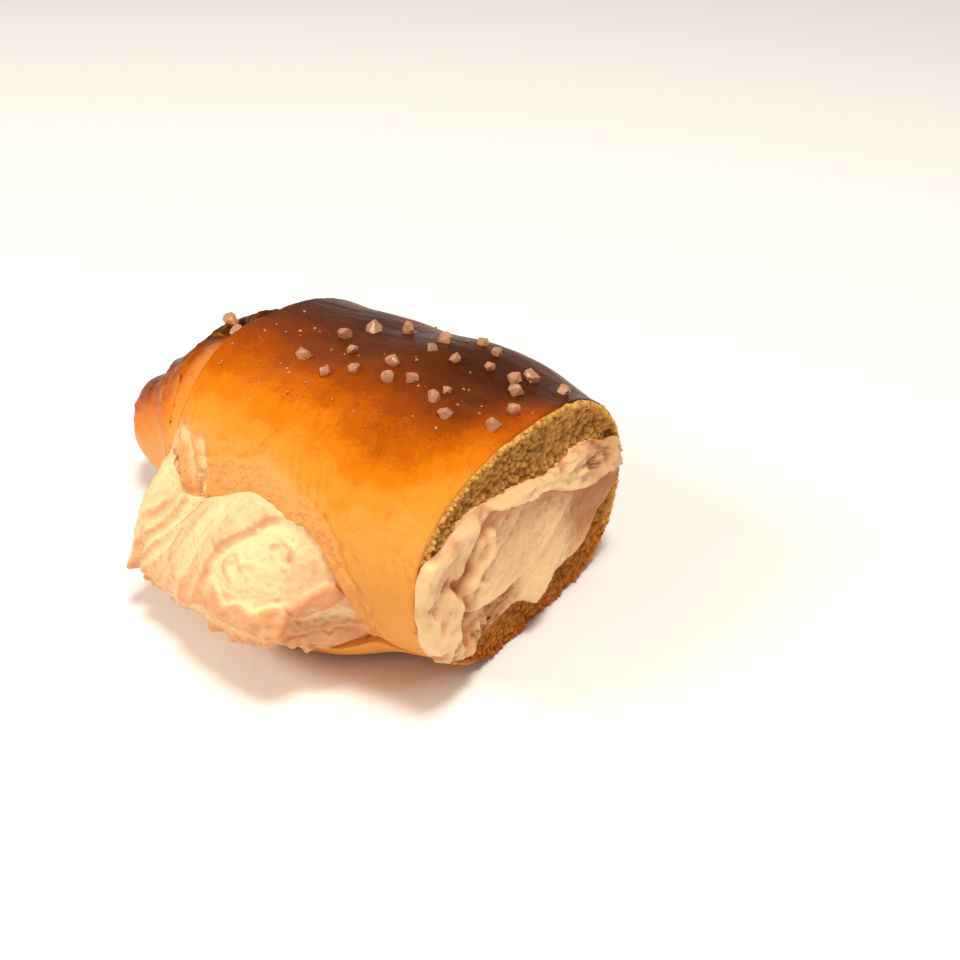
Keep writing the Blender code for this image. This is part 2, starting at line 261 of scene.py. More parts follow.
@dataclass(frozen=True)
class Streaks:
    """Long streaks side by side: width, length, height and the row of noise that they read."""

    width: float
    length: float
    height: float
    row: int = 0

    def on(self, noise: Noise, across: Array, along: Array) -> Array:
        """Their height at places across and along them."""
        places = [across / self.width, along / self.length, across * 0 + self.row]
        return noise.value(np.stack(places, axis=-1)) * self.height


def grid_normals(points: Array, around: bool) -> Array:
    """Unit normals of a grid of points, by the cross product of its two directions.

    Args:
        points: Grid of points, rows by columns by 3.
        around: Whether the columns close into a ring.

    Returns:
        A normal for each point; it points along columns x rows.
    """
    if around:
        padded = np.concatenate([points[:, -1:], points, points[:, :1]], axis=1)
        across = (padded[:, 2:] - padded[:, :-2]) / 2
    else:
        across = np.gradient(points, axis=1)
    normal = np.cross(across, np.gradient(points, axis=0))
    return normal / np.maximum(np.linalg.norm(normal, axis=-1, keepdims=True), 1e-12)


def grid_object(name: str, points: Array, around: bool = False, flip: bool = False) -> Object:
    """A mesh object over a grid of points, linked to the scene.

    Args:
        name: Name of the object.
        points: Grid of points, rows by columns by 3.
        around: Whether the columns close into a ring.
        flip: Whether the faces look the other way.

    Returns:
        The new object, shaded smooth.
    """
    rows, columns = points.shape[:2]
    index = np.arange(rows * columns).reshape(rows, columns)
    if around:
        index = np.concatenate([index, index[:, :1]], axis=1)
    corners = [index[:-1, :-1], index[:-1, 1:], index[1:, 1:], index[1:, :-1]]
    faces = np.stack(corners, axis=-1).reshape(-1, 4)
    if flip:
        faces = faces[:, ::-1]
    mesh = bpy.data.meshes.new(name)
    mesh.from_pydata(points.reshape(-1, 3).tolist(), [], faces.tolist())
    mesh.polygons.foreach_set("use_smooth", [True] * len(mesh.polygons))
    mesh.update()
    obj = bpy.data.objects.new(name, mesh)
    bpy.context.scene.collection.objects.link(obj)
    return obj


def creases(height: Array, reach: int, depth: float) -> Array:
    """Where a grid of heights lies lower than its surroundings.

    Args:
        height: The grid.
        reach: How many rows and columns away the surroundings are.
        depth: The depth that counts as 1.

    Returns:
        0 on even ground to 1 in a crease.
    """
    wide = np.pad(height, reach, mode="edge")
    rows, columns = height.shape
    around = wide[:rows, reach:-reach] + wide[2 * reach :, reach:-reach]
    around = around + wide[reach:-reach, :columns] + wide[reach:-reach, 2 * reach :]
    return np.clip((around / 4 - height) / depth, 0, 1)


def paint(obj: Object, name: str, values: Array) -> None:
    """Stores a number on each vertex, for the material to read.

    Args:
        obj: The mesh object.
        name: Name of the attribute.
        values: One number for each vertex, in any shape.
    """
    layer = obj.data.attributes.new(name, "FLOAT", "POINT")
    layer.data.foreach_set("value", np.ascontiguousarray(values, np.float32).ravel())


class MarkKind(Enum):
    """What a mark on a surface does to it."""

    FOLD = "fold"
    RIDGE = "ridge"
    GROOVE = "groove"


FOLD, RIDGE, GROOVE = MarkKind


@dataclass(frozen=True)
class Mark:
    """A mark on a surface: its kind, height, width and course; a fold steps up to the course's right."""

    kind: MarkKind
    height: float
    width: float
    course: tuple[tuple[float, float], ...]

    FOLD_STEP = 0.00035
    FINENESS = 4

    def _smooth_course(self) -> Array:
        """The course as a smooth line of many points."""
        points = np.array(self.course, float)
        run = np.concatenate([[0], np.cumsum(np.linalg.norm(np.diff(points, axis=0), axis=1))])
        places = np.linspace(0, run[-1], self.FINENESS * len(points))
        return np.stack([curve(places, run, points[:, k]) for k in (0, 1)], axis=-1)

    def relief(self, across: Array, down: Array) -> Array:
        """Height of the mark at places on the surface.

        Args:
            across: Places in the course's first direction.
            down: Places in its second direction.

        Returns:
            A height for each place.
        """
        line = self._smooth_course()
        nearest, side = np.full(across.shape, 1.0), np.zeros(across.shape)
        for start, end in zip(line, line[1:]):
            run = end - start
            t = ((across - start[0]) * run[0] + (down - start[1]) * run[1]) / (run @ run)
            t = np.clip(t, 0, 1)
            off = (across - start[0] - run[0] * t, down - start[1] - run[1] * t)
            distance = np.hypot(*off)
            turned = (run[0] * off[1] - run[1] * off[0]) / (np.hypot(*run) * np.maximum(distance, 1e-9))
            closer = distance < nearest
            nearest = np.where(closer, distance, nearest)
            side = np.where(closer, turned, side)
        if self.kind is FOLD:
            step = np.tanh(nearest / self.FOLD_STEP)
            return self.height * side * step * np.exp(-nearest / self.width)
        height = self.height * bell(nearest, self.width)
        return height if self.kind is RIDGE else -height

    def scaled(self, degree: float) -> "Mark":
        """The same mark with the second numbers of its course turned into metres."""
        course = tuple((first, second * degree) for first, second in self.course)
        return Mark(self.kind, self.height, self.width, course)


@dataclass(frozen=True)
class Station:
    """One place along the roll: half widths, heights, sideways shift and squareness of its section."""

    x: float
    front: float
    back: float
    top: float
    under: float
    side: float
    square: float


@dataclass(frozen=True)
class Wrap:
    """The edge of a rolled-up layer: its places at the back, on top and in front, its step and reach."""

    back: float
    top: float
    front: float
    step: float
    reach: float


@dataclass(frozen=True)
class Lump:
    """A broad wave in the crust."""

    height: float
    along: float
    round: float
    start: float


@dataclass(frozen=True)
class Lip:
    """Heights of the slit's two lips at one place along the roll."""

    x: float
    upper: float
    lower: float


@dataclass(frozen=True)
class Roll:
    """Outer form of the roll, the same as the solids'."""

    tip: float = -0.066
    cut: float = 0.045
    turn: float = math.radians(4)
    nose: float = 0.007
    brow_front: float = 0.54
    brow_back: float = 0.44
    square_back_top: float = 2.60
    square_front_top: float = 2.35
    square_back_base: float = 3.20
    edge_sharpness: float = 0.0002
    lean_from: float = 0.010
    stations: tuple[Station, ...] = (
        Station(-0.066, 0.0085, 0.0115, 0.0255, 0.0030, 0.0040, 2.0),
        Station(-0.057, 0.0120, 0.0150, 0.0305, 0.0012, 0.0040, 2.0),
        Station(-0.048, 0.0150, 0.0205, 0.0370, 0.0000, 0.0035, 2.2),
        Station(-0.040, 0.0195, 0.0275, 0.0440, -0.0010, 0.0030, 2.8),
        Station(-0.028, 0.0265, 0.0345, 0.0502, -0.0013, 0.0020, 4.6),
        Station(-0.012, 0.0320, 0.0380, 0.0524, -0.0013, 0.0010, 6.5),
        Station(0.008, 0.0345, 0.0390, 0.0540, -0.0013, 0.0000, 6.5),
        Station(0.020, 0.0350, 0.0385, 0.0548, -0.0013, 0.0000, 4.4),
        Station(0.030, 0.0355, 0.0375, 0.0540, -0.0013, 0.0000, 2.5),
        Station(0.038, 0.0355, 0.0365, 0.0525, -0.0013, 0.0000, 1.95),
        Station(0.050, 0.0350, 0.0345, 0.0502, -0.0013, 0.0000, 1.65),
    )
    wraps: tuple[Wrap, ...] = (
        Wrap(-0.0565, -0.0530, -0.0330, 0.0026, 0.006),
        Wrap(-0.0450, -0.0390, -0.0270, 0.0028, 0.007),
        Wrap(-0.0180, -0.0262, -0.0225, 0.0028, 0.009),
    )
    lumps: tuple[Lump, ...] = (
        Lump(0.00045, 70, 2, 0.4),
        Lump(0.00035, 130, 3, 2.1),
        Lump(0.00025, 210, 5, 4.4),
    )

    def along(self, name: str, x: Array) -> Array:
        """A station's value at each x."""
        return curve(x, [s.x for s in self.stations], [getattr(s, name) for s in self.stations])

    def edge(self, wrap: Wrap, angle: Array) -> Array:
        """X of a layer's edge at an angle round the section: 0 back, 90 top, 180 front, 270 under."""
        places = (wrap.back, wrap.top, wrap.front, wrap.front, wrap.back)
        return curve(np.asarray(angle) % 360, (0, 90, 180, 270, 360), places)

    def relief(self, x: Array, angle: Array) -> Array:
        """How far the layers and lumps lift the crust at x and an angle.

        Args:
            x: Places along the roll.
            angle: Angles round the section, in degrees.

        Returns:
            A height for each.
        """
        turn = np.radians(angle)
        lift = sum(w.height * np.sin(w.along * x + w.round * turn + w.start) for w in self.lumps)
        for wrap in self.wraps:
            past = x - self.edge(wrap, angle)
            step = wrap.step / 2 * np.tanh(past / self.edge_sharpness)
            lift = lift + step * np.exp(-np.abs(past) / wrap.reach)
        return lift * rise(x, self.tip, self.nose)

    def section(self, x: Array, angle: Array) -> tuple[Array, Array]:
        """The crust's place across the roll.

        Args:
            x: Places along the roll.
            angle: Angles round the section, in degrees.

        Returns:
            Y and Z at each.
        """
        x, angle = np.broadcast_arrays(np.asarray(x, float), np.asarray(angle, float))
        c, s = np.cos(np.radians(angle)), np.sin(np.radians(angle))
        lift = self.relief(x, angle)
        nose = np.sqrt(np.clip(1 - (1 - np.minimum((x - self.tip) / self.nose, 1)) ** 2, 0, 1))
        top = self.along("top", x) + lift
        front = c < 0
        half = np.where(front, self.along("front", x), self.along("back", x)) + lift
        brow = top * np.where(front, self.brow_front, self.brow_back)
        upper = np.where(front, self.square_front_top, self.square_back_top)
        power = np.where(s >= 0, upper, np.where(front, self.along("square", x), self.square_back_base))
        height = np.where(s >= 0, top - brow, brow - self.along("under", x))
        reach = (np.abs(c) ** power + np.abs(s) ** power) ** (-1 / power)
        middle = top * (self.brow_front + self.brow_back) / 2
        z = brow + height * reach * s
        return self.along("side", x) + half * reach * c * nose, np.maximum(middle + (z - middle) * nose, 0)

    def lean(self, x: Array, y: Array) -> Array:
        """How far a point moves along the roll, so that the sections turn to the oblique cut."""
        return y * math.tan(self.turn) * rise(x, self.lean_from, self.cut - self.lean_from)

    def points(self, x: Array, angle: Array) -> Array:
        """Points of the crust at x and an angle."""
        y, z = self.section(x, angle)
        return np.stack([np.broadcast_to(x, y.shape) + self.lean(x, y), y, z], axis=-1)

    def front_angle(self, x: Array, z: Array) -> Array:
        """Angle of the front surface's point at height z, found by halving.

        Args:
            x: Places along the roll.
            z: Heights over the floor.

        Returns:
            An angle for each, in degrees.
        """
        low, high = np.full(np.shape(x), 95.0), np.full(np.shape(x), 268.0)
        for _ in range(24):
            angle = (low + high) / 2
            above = self.section(x, angle)[1] > z
            low, high = np.where(above, angle, low), np.where(above, high, angle)
        return (low + high) / 2

    def normal(self, x: float, angle: float) -> Vector:
        """The crust's outward direction at one place.

        Args:
            x: Place along the roll.
            angle: Its angle, in degrees.

        Returns:
            A unit vector.
        """
        step, turn = 0.0008, 2
        places = ((x, angle), (x + step, angle), (x, angle + turn))
        spot, further, round_it = (self.section(*place) for place in places)
        lengthwise = Vector((step, further[0] - spot[0], further[1] - spot[1]))
        crosswise = Vector((0, round_it[0] - spot[0], round_it[1] - spot[1]))
        return crosswise.cross(lengthwise).normalized()


@dataclass(frozen=True)
class Pocket:
    """The pocket behind the slit, measured from a line that runs along the roll."""

    roll: Roll
    axis_y: float = -0.003
    axis_z: float = 0.024
    end: float = -0.036
    taper: float = 0.016
    narrowest: float = 4.5
    wall: tuple[tuple[float, float], ...] = (
        (0, 0.0058), (20, 0.0060), (46, 0.0148), (90, 0.0116), (118, 0.0096), (140, 0.0056), (160, 0.0034),
        (180, 0.0028), (208, 0.0032), (228, 0.0075), (270, 0.0125), (315, 0.0150), (360, 0.0058),
    )  # fmt: skip
    lips: tuple[Lip, ...] = (
        Lip(-0.034, 0.0270, 0.0180),
        Lip(-0.029, 0.0340, 0.0085),
        Lip(-0.023, 0.0345, 0.0060),
        Lip(-0.016, 0.0300, 0.0058),
        Lip(-0.008, 0.0335, 0.0056),
        Lip(0.002, 0.0385, 0.0056),
        Lip(0.012, 0.0385, 0.0060),
        Lip(0.021, 0.0365, 0.0075),
        Lip(0.027, 0.0300, 0.0105),
        Lip(0.032, 0.0205, 0.0130),
        Lip(0.037, 0.0125, 0.0092),
        Lip(0.049, 0.0095, 0.0080),
    )

    def polar(self, y: Array, z: Array) -> tuple[Array, Array]:
        """Distance and angle, in degrees, from the pocket's line."""
        y, z = y - self.axis_y, z - self.axis_z
        return np.hypot(y, z), np.degrees(np.arctan2(z, y)) % 360

    def crust_reach(self, x: float, angle: Array) -> Array:
        """Distance from the line to the crust at one x.

        Args:
            x: Place along the roll.
            angle: Angles round the line, in degrees.

        Returns:
            A distance for each angle.
        """
        reach, seen = self.polar(*self.roll.section(x, np.arange(0.0, 360.0, 2.0)))
        order = np.argsort(seen)
        return np.interp(angle % 360, seen[order], reach[order], period=360)

    def reach(self, x: float, angle: Array, crust: Array) -> Array:
        """Distance from the line to the pocket's wall at one x.

        Args:
            x: Place along the roll.
            angle: Angles round the line, in degrees.
            crust: Distances to the crust.

        Returns:
            A distance for each angle.
        """
        thickness = curve(angle % 360, *zip(*self.wall))
        fill = math.sqrt(float(rise(x, self.end, self.taper)))
        return np.maximum(crust - thickness, 0.001) * fill

    def lip_heights(self, x: Array) -> tuple[Array, Array]:
        """Heights of the upper and lower lip.

        Args:
            x: Places along the roll.

        Returns:
            Both heights for each x.
        """
        knots = [lip.x for lip in self.lips]
        upper = curve(x, knots, [lip.upper for lip in self.lips])
        return upper, curve(x, knots, [lip.lower for lip in self.lips])

    def lip_angles(self, x: Array) -> tuple[Array, Array]:
        """Angles of the two lips, from the pocket's line.

        Args:
            x: Places along the roll.

        Returns:
            Both angles for each x, in degrees.
        """
        roll = self.roll
        sections = [roll.section(x, roll.front_angle(x, z)) for z in self.lip_heights(x)]
        upper, lower = (self.polar(*section)[1] for section in sections)
        return upper, np.maximum(lower, upper + self.narrowest)

    def place(self, x: Array, angle: Array, reach: Array) -> Array:
        """Points at an angle and a distance from the line, leaning with the cut.

        Args:
            x: Places along the roll.
            angle: Angles round the line, in degrees.
            reach: Distances from it.

        Returns:
            The points.
        """
        y = self.axis_y + reach * np.cos(np.radians(angle))
        z = self.axis_z + reach * np.sin(np.radians(angle))
        return np.stack([np.broadcast_to(x, y.shape) + self.roll.lean(x, y), y, z], axis=-1)


class Graph:
    """A short way to write a node tree."""

    def __init__(self, tree: NodeTree) -> None:
        """Starts on a tree."""
        self.tree = tree

    def node(self, kind: str, **settings: object) -> Node:
        """A new node with its settings.

        Args:
            kind: Blender's name of the node.
            settings: Its properties.

        Returns:
            The node.
        """
        made = self.tree.nodes.new(kind)
        for name, value in settings.items():
            setattr(made, name, value)
        return made

    def link(self, source: Socket, target: Socket) -> None:
        """Joins two sockets."""
        self.tree.links.new(source, target)

    def feed(self, target: Socket, source: object) -> None:
        """Sets a socket to a number or colour, or joins another socket to it."""
        if isinstance(source, Socket):
            self.link(source, target)
        else:
            target.default_value = source

    def math(self, operation: str, first: object, second: object, clamp: bool = False) -> Socket:
        """The result of a sum on two numbers.

        Args:
            operation: Blender's name of the sum.
            first: A number or a socket.
            second: A number or a socket.
            clamp: Whether the result stays within 0 to 1.

        Returns:
            The result's socket.
        """
        made = self.node("ShaderNodeMath", operation=operation, use_clamp=clamp)
        self.feed(made.inputs[0], first)
        self.feed(made.inputs[1], second)
        return made.outputs[0]

    def mix(self, share: object, first: object, second: object) -> Socket:
        """Two colours mixed by a share.

        Args:
            share: The second colour's share, 0 to 1.
            first: A colour or a socket.
            second: A colour or a socket.

        Returns:
            The mixed colour's socket.
        """
        made = self.node("ShaderNodeMix", data_type="RGBA", blend_type="MIX")
        self.feed(made.inputs["Factor"], share)
        self.feed(made.inputs[6], first)
        self.feed(made.inputs[7], second)
        return made.outputs[2]

    def tints(self, share: object, first: Colour, second: Colour) -> Socket:
        """Two display colours mixed by a share."""
        return self.mix(share, linear(first), linear(second))

    def centred(self, source: Socket, middle: float, clamp: bool = False) -> Socket:
        """How far a number lies over a middle."""
        return self.math("SUBTRACT", source, middle, clamp=clamp)

    def ramp(self, share: Socket, stops: tuple[tuple[float, Colour], ...]) -> Socket:
        """A colour read from stops along 0 to 1.

        Args:
            share: Where it is read.
            stops: Place and colour of each stop.

        Returns:
            The colour's socket.
        """
        made = self.node("ShaderNodeValToRGB")
        ramp = made.color_ramp
        ramp.interpolation = "EASE"
        while len(ramp.elements) < len(stops):
            ramp.elements.new(1.0)
        for element, (place, colour) in zip(ramp.elements, stops):
            element.position = place
            element.color = linear(colour)
        self.link(share, made.inputs[0])
        return made.outputs[0]

    def painted(self, name: str) -> Socket:
        """A number painted on the mesh."""
        return self.node("ShaderNodeAttribute", attribute_name=name).outputs["Fac"]

    def place(self) -> Socket:
        """The surface's place on the object, in metres."""
        return self.node("ShaderNodeTexCoord").outputs["Object"]

    def group(self, tree: NodeTree, **inputs: object) -> Node:
        """A node group placed with its own values.

        Args:
            tree: The group's tree.
            inputs: Values or sockets for its inputs, with _ for a space.

        Returns:
            The group's node.
        """
        made = self.node("ShaderNodeGroup", node_tree=tree)
        for name, value in inputs.items():
            self.feed(made.inputs[name.replace("_", " ")], value)
        return made


def group_tree(name: str, inputs: dict[str, float | None], outputs: tuple[str, ...]) -> Graph:
    """A node group with named sockets and nothing between them.

    Args:
        name: Name of the group.
        inputs: Starting value of each number that goes in, or None for a vector.
        outputs: Names of the numbers that come out.

    Returns:
        The graph of the group's tree.
    """
    tree = bpy.data.node_groups.new(name, "ShaderNodeTree")
    for label, value in inputs.items():
        kind = "NodeSocketVector" if value is None else "NodeSocketFloat"
        made = tree.interface.new_socket(label, in_out="INPUT", socket_type=kind)
        if value is not None:
            made.default_value = value
    for label in outputs:
        tree.interface.new_socket(label, in_out="OUTPUT", socket_type="NodeSocketFloat")
    return Graph(tree)


class Effects:
    """The shader effects that more than one finish uses, each a node group."""

    PIT_STEEPNESS = 2.2
    NOISE_ROUGHNESS = 0.6

    def __init__(self) -> None:
        """Builds the groups."""
        self.mottle = self._mottle()
        self.pores = self._pores()

    def _mottle(self) -> NodeTree:
        """Soft patches at two sizes, as a mask about 0.5."""
        inputs = {"Place": None, "Patch Scale": 90.0, "Speck Scale": 900.0, "Speck Share": 0.35}
        graph = group_tree("baked_mottle", inputs, ("Mask",))
        source, sink = graph.node("NodeGroupInput"), graph.node("NodeGroupOutput")
        made = []
        for scale, detail in (("Patch Scale", 3.0), ("Speck Scale", 2.0)):
            noise = graph.node("ShaderNodeTexNoise")
            graph.link(source.outputs["Place"], noise.inputs["Vector"])
            graph.link(source.outputs[scale], noise.inputs["Scale"])
            noise.inputs["Detail"].default_value = detail
            noise.inputs["Roughness"].default_value = self.NOISE_ROUGHNESS
            made.append(noise.outputs[0])
        difference = graph.math("SUBTRACT", made[1], made[0])
        shared = graph.math("MULTIPLY", difference, source.outputs["Speck Share"])
        graph.link(graph.math("ADD", made[0], shared), sink.inputs["Mask"])
        return graph.tree

    def _pores(self) -> NodeTree:
        """Fine pits and grain, as a height from 0 to 1."""
        inputs = {"Place": None, "Pore Scale": 900.0, "Grain Scale": 2400.0}
        graph = group_tree("crumb_pores", inputs, ("Height", "Pit"))
        source, sink = graph.node("NodeGroupInput"), graph.node("NodeGroupOutput")
        cells = graph.node("ShaderNodeTexVoronoi", feature="SMOOTH_F1")
        grain = graph.node("ShaderNodeTexNoise")
        for texture, scale in ((cells, "Pore Scale"), (grain, "Grain Scale")):
            graph.link(source.outputs["Place"], texture.inputs["Vector"])
            graph.link(source.outputs[scale], texture.inputs["Scale"])
        depth = graph.math("MULTIPLY", cells.outputs["Distance"], self.PIT_STEEPNESS)
        pit = graph.math("SUBTRACT", 1.0, depth, clamp=True)
        halves = (graph.math("MULTIPLY", part, 0.5) for part in (grain.outputs[0], pit))
        graph.link(graph.math("SUBTRACT", *halves), sink.inputs["Height"])
        graph.link(pit, sink.inputs["Pit"])
        return graph.tree


@dataclass(frozen=True)
class Speckle:
    """Scales of a finish's soft patches and of its specks, and the specks' share."""

    patch: float
    speck: float
    share: float

    def place(self, graph: Graph, effects: Effects) -> Socket:
        """The patches' mask in a material."""
        values = {"Patch_Scale": self.patch, "Speck_Scale": self.speck, "Speck_Share": self.share}
        return graph.group(effects.mottle, Place=graph.place(), **values).outputs["Mask"]


@dataclass(frozen=True)
class Grain:
    """Scales of a finish's fine pores and grain, and how deep they are, in metres."""

    pore: float
    grain: float
    depth: float

    def place(self, graph: Graph, effects: Effects) -> Node:
        """The pores' group in a material."""
        return graph.group(effects.pores, Place=graph.place(), Pore_Scale=self.pore, Grain_Scale=self.grain)


@dataclass(frozen=True)
class Finish:
    """What every finish has in common: a name and the shader values that are the same all over."""

    name: str
    even: Even

    def start(self) -> tuple[Material, Graph, Node]:
        """A new material, its graph and its Principled shader."""
        made = bpy.data.materials.new(self.name)
        made.use_nodes = True
        shader = made.node_tree.nodes["Principled BSDF"]
        for socket, value in self.even:
            shader.inputs[socket].default_value = value
        return made, Graph(made.node_tree), shader


def bump(graph: Graph, shader: Node, height: Socket, depth: float) -> None:
    """Gives a shader fine relief.

    Args:
        graph: The material's graph.
        shader: The Principled shader.
        height: A height from 0 to 1.
        depth: What a height of 1 stands for, in metres.
    """
    node = graph.node("ShaderNodeBump")
    node.inputs["Strength"].default_value = 1.0
    node.inputs["Distance"].default_value = depth
    graph.link(height, node.inputs["Height"])
    graph.link(node.outputs[0], shader.inputs["Normal"])


@dataclass(frozen=True)
class CrustFinish(Finish):
    """Glazed crust: pale below, golden, orange, and dark brown on top; paler where the dough has torn."""

    name: str = "glazed_crust"
    even: Even = (
        ("Specular IOR Level", 0.11),
        ("Specular Tint", linear((255, 150, 60))),
        ("Subsurface Weight", 0.08),
        ("Subsurface Radius", (0.9, 0.35, 0.12)),
        ("Subsurface Scale", 0.0015),
    )
    tones: tuple[tuple[float, Colour], ...] = (
        (0.00, (236, 160, 74)),
        (0.15, (238, 146, 44)),
        (0.29, (224, 121, 12)),
        (0.43, (192, 92, 3)),
        (0.57, (154, 67, 3)),
        (0.72, (122, 52, 8)),
        (0.86, (91, 40, 8)),
        (1.00, (68, 30, 8)),
    )
    torn: Colour = (240, 166, 92)
    pit_shade: Colour = (224, 140, 64)
    # Colour of the torn dough's pores, darker as painted shade.
    smeared: Colour = (250, 204, 152)
    seam: Colour = (238, 166, 84)
    # Colour of the scorched underside, also used for painted shadow along a layer's edge and painted shade
    # in creases.
    scorched_and_shaded: Colour = (150, 78, 26)
    speckle: Speckle = Speckle(170.0, 1300.0, 0.40)
    grain: Grain = Grain(1100.0, 3200.0, 0.00030)
    patchiness: float = 0.34
    pit_share: float = 0.22
    roughness: float = 0.44
    torn_rougher: float = 0.30
    browned_smoother: float = 0.14
    glazed_relief: float = 0.40

    def build(self, effects: Effects) -> Material:
        """Makes the material.

        Args:
            effects: The shared shader effects.

        Returns:
            The material.
        """
        made, graph, shader = self.start()
        mask = self.speckle.place(graph, effects)
        patches = graph.math("MULTIPLY", graph.centred(mask, 0.5), self.patchiness)
        tone = graph.math("ADD", graph.painted("bake"), patches, clamp=True)
        colour = graph.ramp(tone, self.tones)
        colour = graph.mix(graph.painted("seam"), colour, linear(self.seam))
        # The scorch mask holds real scorching underneath, plus painted shade along the widest layer's edge
        # and in creases.
        colour = graph.mix(graph.painted("scorch_and_shade"), colour, linear(self.scorched_and_shaded))
        pores = self.grain.place(graph, effects)
        torn = graph.painted("torn")
        # Painted shade: the torn dough is darker in its pores.
        pit_shade = graph.math("MULTIPLY", pores.outputs["Pit"], self.pit_share)
        colour = graph.mix(torn, colour, graph.tints(pit_shade, self.torn, self.pit_shade))
        colour = graph.mix(graph.painted("smear"), colour, linear(self.smeared))
        graph.link(colour, shader.inputs["Base Color"])
        rough = graph.math("ADD", self.roughness, graph.math("MULTIPLY", torn, self.torn_rougher))
        glaze = graph.math("MULTIPLY", tone, self.browned_smoother)
        graph.link(graph.math("SUBTRACT", rough, glaze), shader.inputs["Roughness"])
        share = graph.math("ADD", self.glazed_relief, torn)
        bump(graph, shader, graph.math("MULTIPLY", pores.outputs["Height"], share), self.grain.depth)
        return made


@dataclass(frozen=True)
class CrumbFinish(Finish):
    """The torn inside of the bread, moist: olive-brown with pale glistening lumps, darker in its hollows
    and cracks as painted shade.
    """

    name: str = "moist_crumb"
    even: Even = (
        ("Specular IOR Level", 0.18),
        ("Specular Tint", linear((255, 190, 110))),
        ("Subsurface Weight", 0.12),
        ("Subsurface Radius", (1.0, 0.5, 0.2)),
        ("Subsurface Scale", 0.0012),
    )
    # The hollow colours below are darker as painted shade in the crumb's hollows and cracks.
    hollow_shade: Colour = (148, 92, 30)
    lump: Colour = (240, 180, 98)
    below: Colour = (218, 134, 36)
    below_shade: Colour = (144, 76, 6)
    rim: Colour = (255, 202, 112)
    rim_shade: Colour = (214, 142, 60)
    base_rim: Colour = (224, 126, 32)
    burnt: Colour = (132, 66, 12)
    speckle: Speckle = Speckle(420.0, 2200.0, 0.5)
    grain: Grain = Grain(1500.0, 3600.0, 0.0003)
    roughness: float = 0.62
    lumps_smoother: float = 0.24

    def build(self, effects: Effects) -> Material:
        """Makes the material.

        Args:
            effects: The shared shader effects.

        Returns:
            The material.
        """
        made, graph, shader = self.start()
        mask = self.speckle.place(graph, effects)
        # Painted shade: the colour runs from the hollow colour in cracks, sags and between lumps to the
        # paler lump colour.
        lumps = graph.math("ADD", graph.painted("height"), graph.centred(mask, 0.5), clamp=True)
        colour = graph.tints(lumps, self.hollow_shade, self.lump)
        colour = graph.mix(graph.painted("low"), colour, graph.tints(lumps, self.below_shade, self.below))
        rim = graph.tints(lumps, self.rim_shade, self.rim)
        rim = graph.mix(graph.painted("base"), rim, graph.tints(lumps, self.burnt, self.base_rim))
        graph.link(graph.mix(graph.painted("rim"), colour, rim), shader.inputs["Base Color"])
        wet = graph.math("MULTIPLY", lumps, self.lumps_smoother)
        graph.link(graph.math("SUBTRACT", self.roughness, wet), shader.inputs["Roughness"])
        bump(graph, shader, self.grain.place(graph, effects).outputs["Height"], self.grain.depth)
        return made


@dataclass(frozen=True)
class CreamFinish(Finish):
    """Whipped cream: satin, off-white, a little translucent; darker in its hollows and warmer on the cut
    face as painted shade.
    """

    name: str = "whipped_cream"
    even: Even = (
        ("Specular IOR Level", 0.4),
        ("Subsurface Weight", 0.25),
        ("Subsurface Radius", (1.0, 0.6, 0.35)),
        ("Subsurface Scale", 0.0016),
    )
    pale: Colour = (254, 222, 168)
    shaded_and_mottled: Colour = (228, 160, 106)
    # The cut face's cream colours, warmer and darker than the swell's as painted shade.
    cut: Colour = (255, 208, 152)
    cut_shaded: Colour = (198, 124, 68)
    speckle: Speckle = Speckle(160.0, 1300.0, 0.3)
    grain: Grain = Grain(1300.0, 2600.0, 0.00008)
    tinted_from: float = 0.35
    tinted: float = 0.5
    roughness: float = 0.36
    patches_rougher: float = 0.22

    def build(self, effects: Effects) -> Material:
        """Makes the material.

        Args:
            effects: The shared shader effects.

        Returns:
            The material.
        """
        made, graph, shader = self.start()
        mask = self.speckle.place(graph, effects)
        hollow_shade = graph.painted("hollow_shade")
        # Painted shade: darker where the painted hollow value is high; random patches are tinted with the
        # same darker colour.
        colour = graph.tints(hollow_shade, self.pale, self.shaded_and_mottled)
        tint = graph.math("MULTIPLY", graph.centred(mask, self.tinted_from, clamp=True), self.tinted)
        colour = graph.mix(tint, colour, linear(self.shaded_and_mottled))
        # The cut face takes its own colours, warmer and darker as painted shade.
        cut = graph.tints(hollow_shade, self.cut, self.cut_shaded)
        graph.link(graph.mix(graph.painted("cut"), colour, cut), shader.inputs["Base Color"])
        rough = graph.math("ADD", self.roughness, graph.math("MULTIPLY", mask, self.patches_rougher))
        graph.link(rough, shader.inputs["Roughness"])
        bump(graph, shader, self.grain.place(graph, effects).outputs["Height"], self.grain.depth)
        return made


@dataclass(frozen=True)
class SaltFinish(Finish):
    """Coarse salt: cloudy, pinkish and wet."""

    name: str = "cloudy_salt"
    even: Even = (("Roughness", 0.26), ("Transmission Weight", 0.50), ("IOR", 1.5))
    clear: Colour = (236, 158, 102)
    cloudy: Colour = (255, 206, 162)
    speckle: Speckle = Speckle(700.0, 2600.0, 0.4)
    clear_up_to: float = 0.3
    contrast: float = 2.2
    relief: float = 0.0002

    def build(self, effects: Effects) -> Material:
        """Makes the material.

        Args:
            effects: The shared shader effects.

        Returns:
            The material.
        """
        made, graph, shader = self.start()
        mask = self.speckle.place(graph, effects)
        cloud = graph.centred(mask, self.clear_up_to, clamp=True)
        share = graph.math("MULTIPLY", cloud, self.contrast, clamp=True)
        graph.link(graph.tints(share, self.clear, self.cloudy), shader.inputs["Base Color"])
        bump(graph, shader, mask, self.relief)
        return made


